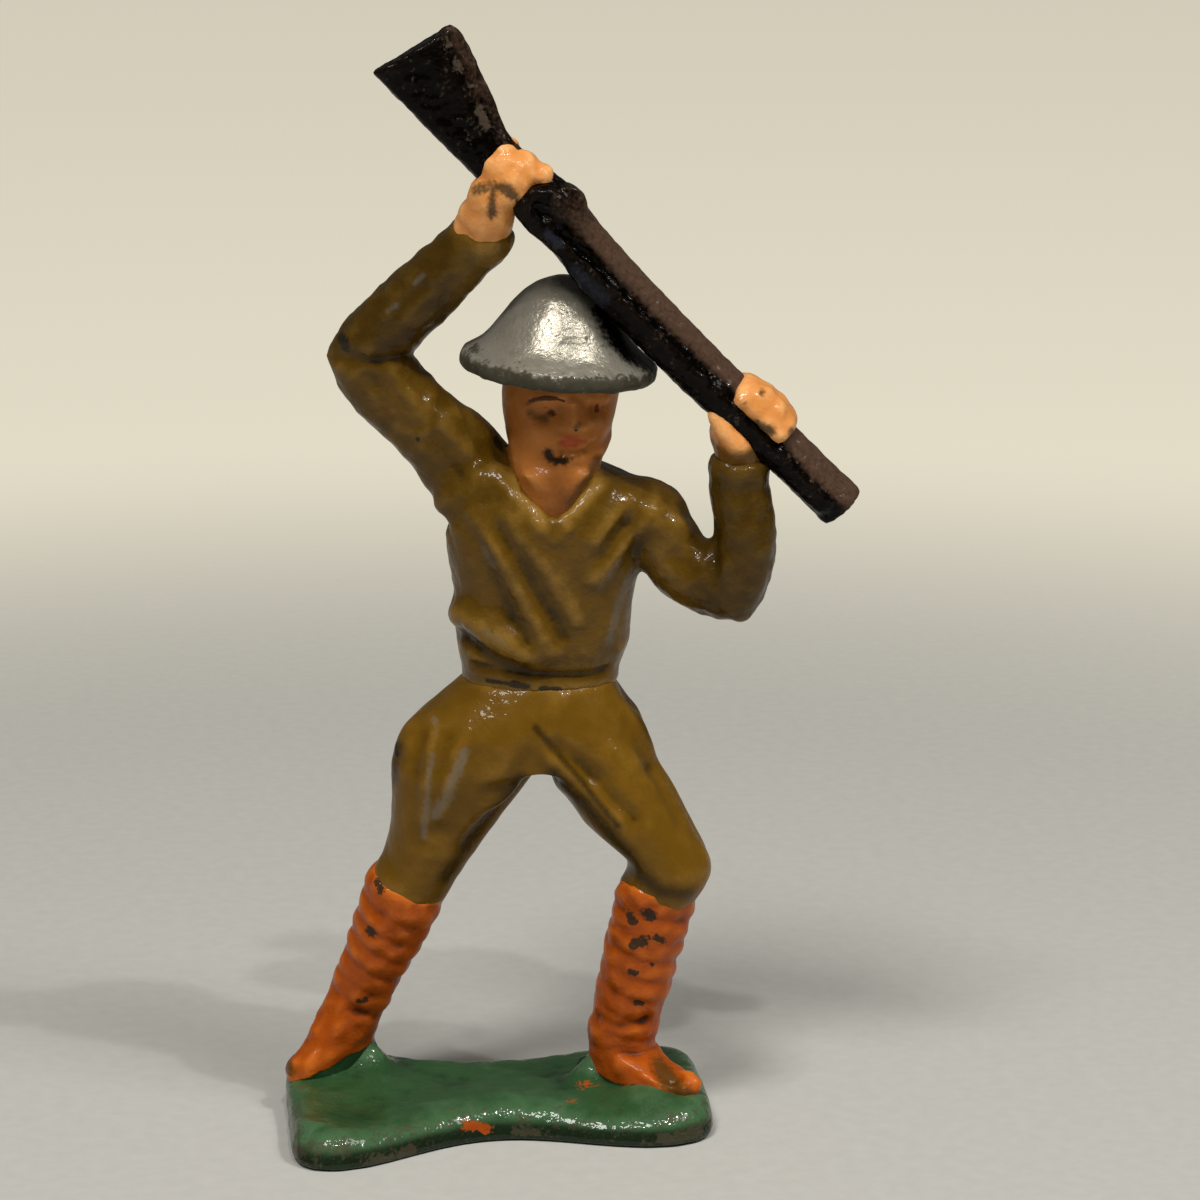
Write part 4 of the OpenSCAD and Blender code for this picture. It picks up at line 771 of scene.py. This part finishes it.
# Where the rifle lies over the helmet, the black is partly the rifle's paint run onto it and partly a
# painted shadow of the rifle.
keep(helmet, "slop_and_shadow", painted(shell, (
    (1.3, ((8.4, -5.2, 66.6), (8.8, -5.7, 65.6), (9.6, -5.4, 64.4), (10.4, -4.5, 63.3), (11.4, -3.0, 62.4))),
    (0.5, ((12.0, -2.6, 62.0), (12.4, -1.0, 61.6)))), depth=0.6))
mark(helmet, "smear", shell, ((0.7, ((5.2, -2.6, 69.2), (5.9, -3.6, 68.9), (6.7, -5.4, 68.4))),))
set_down(helmet, shell, silver_paint, "silver_enamel", "helmet")


# Rifle: stock, barrel, receiver boss and nose cap are cast together and lie across both hands. The dark
# brown enamel is near black on the sides and rubbed to bare metal on the butt; its upper facet is painted a
# lighter brown as a painted highlight, and a blue grey low on the barrel by the receiver is a painted
# reflection.

rifle_origin = np.array((0.4, -4.7, 77.2))
rifle_along = np.array((0.713, 0.0, -0.701))
rifle_over = np.array((0.701, 0.0, 0.713))


def on_rifle(along, over, back):
    """A place on the rifle: along the barrel from the right hand, over its line, and to the back."""
    return rifle_origin + along * rifle_along + over * rifle_over + np.array((0.0, back, 0.0))


# The blue mark of the brown enamel is a painted reflection.
brown_paint = enamel(
    "brown_enamel", card(1, 1, 0), card(4, 2, 1), card(24, 17, 13),
    marks=(("rubbed_and_lit", card(104, 80, 65), 1.0, 0.45, 0.85, 0.28),
           ("bare", card(98, 86, 72), 2.4, 0.28, 0.6, 0.4),
           ("blue", card(54, 58, 74), 1.2, 0.4, 0.5, 0.35)),
    gloss=0.28, coat=0.14, lump=1.0, grit=0.6, shine=0.02)
rifle_solids = ("rifle_stock", "rifle_barrel", "rifle_receiver", "rifle_nose_cap")
rifle_clay = clay_of(*rifle_solids)
beads(rifle_clay, (on_rifle(-9.9, 4.6, 0.0), on_rifle(-7.5, 3.9, 0.0)), (0.95, 0.9))
beads(rifle_clay, (on_rifle(4.6, 1.3, -0.8), on_rifle(7.0, 1.2, -0.9), on_rifle(12.0, 0.6, -1.0)),
      (1.7, 1.3, 1.0))
beads(rifle_clay, [on_rifle(2.8, -0.7, -2.1), on_rifle(2.7, 0.5, -2.1), on_rifle(3.4, 1.2, -2.0),
                   on_rifle(4.6, 1.4, -1.9), on_rifle(6.0, 1.1, -1.5)], (0.7, 0.75, 0.8, 0.85, 0.9))
beads(rifle_clay, [on_rifle(2.9, -0.9, -2.0), on_rifle(4.4, -1.1, -1.9), on_rifle(6.6, -1.0, -1.6)],
      (0.65, 0.7, 0.7))
beads(rifle_clay, [on_rifle(3.5, -0.3, -1.0), on_rifle(5.4, 0.1, -0.8)], (1.5, 1.6))
rifle, stock = cast("rifle_casting", rifle_clay, grain=0.16, rounds=9)
along, over = (stock - rifle_origin) @ rifle_along, (stock - rifle_origin) @ rifle_over
front = np.clip((rifle_origin[1] - stock[:, 1]) / 1.2, 0, 1)
ridge = np.clip(1 - np.abs(over - 0.1) / 1.7, 0, 1)
stock[:, 1] -= front * rise(along, 9, 4) * (0.8 * ridge - 0.4)
under = rise(along, 7.5, 3) * np.clip((36 - along) / 14, 0.3, 1)
stock += (0.3 * under * np.minimum(over, 0))[:, None] * rifle_over
blunt = rise(along, 34.8, 1.2)[:, None]
stock = blunt * (eased(rifle, stock.copy(), rounds=26) + 0.3 * rifle_along) + (1 - blunt) * stock
facet = np.clip((over - 0.4 + 0.37 * (along + 2)) / 1.6, 0, 1)
stock[:, 1] += front * rise(along, -1.5, -2) * 0.55 * facet
stock = modelled(rifle, stock, (
    (-0.5, 0.5, (on_rifle(6.0, -0.05, -1.9), on_rifle(14.0, 0.0, -1.9), on_rifle(22.0, 0.0, -1.8))),
    (0.3, 0.6, (on_rifle(2.8, -1.0, -1.8), on_rifle(5.0, -1.0, -1.9))),
    (-0.3, 0.4, (on_rifle(3.5, -0.2, -2.4), on_rifle(4.2, -0.1, -2.4))),
    (-0.3, 1.2, (on_rifle(-4.0, 0.0, -1.7), on_rifle(-10.0, 0.4, -1.7))),
    (-0.3, 1.2, (on_rifle(-4.0, 0.0, 1.7), on_rifle(-10.0, 0.4, 1.7)))))
stock_swell = (0.06 + 0.08 * ridge) * lumps(stock, 0.9) + (0.04 + 0.06 * ridge) * lumps(stock, 0.45)
stock = swelled(rifle, stock, stock_swell)
stock_raised = keep_relief(rifle, stock, depth=0.35, rounds=36)
butt_share = np.clip((1.0 - (stock - rifle_origin) @ rifle_along) / 6, 0, 1)
edge_rub = np.clip(stock_raised / 0.3, 0, 0.6) * butt_share * facet
# The upper facet is painted a lighter brown as a painted highlight; on the butt's facet the same mark is
# wear.
lit_facet = rise(over + 0.6 * rise(along, 27, 6), 0.15, 0.5) * rise(along, 2.5, 6)
keep(rifle, "rubbed_and_lit", 0.75 * np.maximum(lit_facet, 0.55 * facet * butt_share))
keep(rifle, "bare", np.maximum(edge_rub, painted(stock, (
    (0.35, (on_rifle(-11.6, 4.8, 0.0), on_rifle(-11.2, 4.2, -1.2))), (0.3, (on_rifle(-9.8, 4.0, -1.3),)),
    (0.26, (on_rifle(-8.6, 3.6, -1.3), on_rifle(-7.8, 3.4, -1.3))), (0.22, (on_rifle(-6.4, 3.0, -1.3),)),
    (0.34, (on_rifle(-4.6, 2.2, -1.2), on_rifle(-3.4, 1.8, -1.3))),
    (0.3, (on_rifle(-12.0, 1.0, -1.0), on_rifle(-12.0, 3.5, -1.0))),
    (0.3, (on_rifle(37.6, 0.8, -0.8), on_rifle(37.6, -0.6, 0.4)))))))
# The blue grey low on the barrel by the receiver is a painted reflection.
mark(rifle, "blue", stock, (
    (0.5, (on_rifle(9.0, -1.6, -1.6), on_rifle(12.0, -1.6, -2.0))),
    (0.3, (on_rifle(5.4, -0.9, -2.6), on_rifle(6.6, -0.9, -2.6)))))
set_down(rifle, stock, brown_paint, "brown_enamel", *rifle_solids)


# Hands: two cast fists that hold the rifle. The right one is shut round the small of the stock,
# the left one lies under the fore-end with its fingers over the top. Both are brushed in flesh.

hand_paint = enamel(
    "hand_enamel", card(146, 76, 28), card(228, 149, 78), card(250, 188, 122),
    marks=(("cloth", card(104, 74, 22), 0.3, 0.3, 0.9, 0.32),
           ("dirt_and_shade", card(62, 54, 36), 1.2, 0.35, 0.88, 0.45)),
    gloss=0.3, coat=0.35, lump=0.6)
right_clay = bmesh.new()
beads(right_clay, ((-1.1, -3.0, 71.5), (-0.6, -4.6, 73.8), (-0.5, -5.5, 75.4)), (2.0, 2.1, 1.9))
beads(right_clay, ((-0.5, -5.5, 75.4), (0.9, -5.7, 76.4), (0.4, -5.5, 77.4), (1.8, -5.5, 77.0)),
      (1.9, 1.9, 1.85, 1.6))
for along, over in ((-0.9, 1.0), (0.75, 1.6), (2.2, 1.75)):
    knuckle = on_rifle(along, over, -0.8)
    finger = [on_rifle(along, reach, back) for reach, back in ((1.7, 0.5), (1.2, 2.0), (-0.6, 2.3))]
    beads(right_clay, [knuckle] + finger, (1.2, 0.9, 0.85, 0.8))
beads(right_clay, ((-0.6, -3.4, 74.6), (0.2, -2.4, 75.4), (1.4, -2.2, 75.6)), (1.6, 1.2, 0.9))
beads(right_clay, ((-2.2, -3.4, 72.4), (-1.6, -4.4, 74.0)), (1.25, 1.4))
right_hand, right_skin = cast("right_fist", right_clay, grain=0.17, rounds=8)
right_skin = swelled(right_hand, right_skin, 0.1 * lumps(right_skin, 0.9))
keep_relief(right_hand, right_skin, depth=0.3, rounds=30)
# On the right hand the mark is a smudge of dirt.
mark(right_hand, "dirt_and_shade", right_skin, (
    (0.42, ((-1.8, -7.2, 76.1), (-0.7, -7.6, 76.4), (0.5, -7.6, 76.2), (1.1, -7.4, 75.6))),
    (0.36, ((-0.5, -7.5, 76.3), (-0.6, -7.4, 75.0), (-0.6, -6.9, 74.2))),
    (0.22, ((1.1, -7.2, 75.8), (1.4, -6.9, 75.0)))))
set_down(right_hand, right_skin, hand_paint, "flesh_enamel", "right_hand")

left_clay = bmesh.new()
beads(left_clay, ((18.9, -4.3, 54.2), (18.7, -4.9, 55.6), (18.2, -4.6, 57.0)), (2.0, 2.0, 1.9))
beads(left_clay, ((18.9, -4.0, 57.0), (20.6, -2.8, 58.2)), (1.9, 1.8))
beads(left_clay, ((18.4, -6.2, 55.8), (17.3, -6.2, 57.4), (16.6, -6.0, 58.6)), (1.2, 1.0, 0.75))
for along, reach in ((25.3, 1.3), (26.6, 1.7), (28.0, 1.8), (29.3, 1.5)):
    finger = [on_rifle(along, over, back) for over, back in (
        (-0.8, 2.2), (reach - 0.3, 2.0), (reach + 0.2, 0.2), (reach - 0.3, -1.5), (0.3, -2.2))]
    beads(left_clay, finger, (1.1, 1.05, 1.0, 1.0, 0.85))
left_hand, left_skin = cast("left_fist", left_clay, grain=0.17, rounds=26)
left_skin = swelled(left_hand, left_skin, 0.1 * lumps(left_skin, 0.9))
keep_relief(left_hand, left_skin, depth=0.3, rounds=30)
# On the left hand these marks are painted shade along the rifle and on the fingers, with some dirt.
mark(left_hand, "dirt_and_shade", left_skin, (
    (0.25, ((20.2, -6.4, 60.2),)), (0.25, ((18.7, -6.6, 59.5),)),
    (0.35, ((19.4, -7.4, 57.9), (20.8, -7.4, 57.3))), (0.35, ((22.6, -7.0, 57.0), (23.4, -6.4, 56.8)))))
cuff_line = np.interp(left_skin[:, 0], (16.6, 17.7, 18.8, 20.1, 21.0), (56.4, 55.8, 55.6, 56.4, 56.8))
under_stock = np.clip(-0.8 - (left_skin - rifle_origin) @ rifle_over, 0, 1)
keep(left_hand, "cloth", np.clip(0.5 + 0.6 * (cuff_line - left_skin[:, 2]), 0, 1) * under_stock)
set_down(left_hand, left_skin, hand_paint, "flesh_enamel", "left_hand")


# Stage: a plain pale table under soft light from above, with the camera somewhat higher than the
# helmet and a little to the left, as the figure is seen on a shelf.

table_mesh = bpy.data.meshes.new("table")
table_reach = 4
table_corners = [(table_reach * x, table_reach * y, 0) for x, y in ((-1, -1), (1, -1), (1, 1), (-1, 1))]
table_mesh.from_pydata(table_corners, [], [(0, 1, 2, 3)])
table = bpy.data.objects.new("table", table_mesh)
bpy.context.scene.collection.objects.link(table)
table_paint = bpy.data.materials.new("pale_table")
table_paint.use_nodes = True
table_tree = table_paint.node_tree
table_shader = table_tree.nodes["Principled BSDF"]
table_place = table_tree.nodes.new("ShaderNodeTexCoord").outputs["Object"]
table_length = add(table_tree, "ShaderNodeVectorMath", {0: table_place}, operation="LENGTH").outputs["Value"]
table_far = add(table_tree, "ShaderNodeMapRange", {0: table_length, 1: 0.12, 2: 0.32},
                interpolation_type="SMOOTHSTEP").outputs[0]
table_grain = add(table_tree, "ShaderNodeTexNoise", {
    "Vector": table_place, "Scale": 700, "Detail": 2}).outputs[0]
table_near = layered(table_tree, table_grain, card(190, 189, 184), card(202, 201, 196))
table_colour = layered(table_tree, table_far, table_near, card(142, 138, 126))
table_tree.links.new(table_colour, table_shader.inputs["Base Color"])
table_glow = layered(table_tree, table_far, (0, 0, 0, 1), card(222, 216, 196))
table_tree.links.new(table_glow, table_shader.inputs["Emission Color"])
ray_kinds = table_tree.nodes.new("ShaderNodeLightPath").outputs
mirrored = add(table_tree, "ShaderNodeMath", {
    0: ray_kinds["Is Glossy Ray"], 1: ray_kinds["Is Transmission Ray"]}, operation="MAXIMUM").outputs[0]
glow = sums(table_tree, ray_kinds["Is Camera Ray"], 0.82, sums(table_tree, mirrored, 0.2, 0.0))
table_tree.links.new(glow, table_shader.inputs["Emission Strength"])
table_shader.inputs["Roughness"].default_value = 0.8
table_mesh.materials.append(table_paint)

world = bpy.data.worlds.new("soft_room")
world.use_nodes = True
world.node_tree.nodes["Background"].inputs["Color"].default_value = card(244, 240, 228)
world.node_tree.nodes["Background"].inputs["Strength"].default_value = 0.1
bpy.context.scene.world = world


figure_middle = Vector((0, 0, 0.04))


def lamp(name, place, size, power):
    """A square soft lamp that shines from a place on the figure."""
    light = bpy.data.lights.new(name, "AREA")
    light.size = size
    light.energy = power
    light.color = (1.0, 0.975, 0.93)
    holder = bpy.data.objects.new(name, light)
    holder.location = place
    holder.rotation_euler = (figure_middle - Vector(place)).to_track_quat("-Z", "Y").to_euler()
    bpy.context.scene.collection.objects.link(holder)


lamp("ceiling_left", (-0.24, -0.42, 0.74), size=0.22, power=4.1)
lamp("ceiling_right", (0.42, -0.34, 0.72), size=0.24, power=2.0)
lamp("ceiling_spot_left", (0.06, -0.44, 0.78), size=0.025, power=1.2)
lamp("ceiling_spot_right", (0.4, -0.36, 0.76), size=0.025, power=1.2)

swing = math.radians(-5.0)
look = swing - 0.028
nod = 0.217
eye_distance = 0.3
eye_height = 0.109
eye = Vector((math.sin(swing) * eye_distance, -math.cos(swing) * eye_distance, eye_height))
ahead = Vector((-math.sin(look) * math.cos(nod), math.cos(look) * math.cos(nod), -math.sin(nod)))
rightward = Vector((math.cos(look), math.sin(look), 0))
upward = rightward.cross(ahead)
lens = bpy.data.cameras.new("camera")
lens.sensor_width = 36
lens.lens = 116.61
lens.clip_start = 0.01
camera = bpy.data.objects.new("camera", lens)
camera.matrix_world = Matrix((
    (rightward.x, upward.x, -ahead.x, eye.x), (rightward.y, upward.y, -ahead.y, eye.y),
    (rightward.z, upward.z, -ahead.z, eye.z), (0, 0, 0, 1)))
bpy.context.scene.collection.objects.link(camera)
bpy.context.scene.camera = camera
bpy.context.scene.view_settings.view_transform = "Standard"
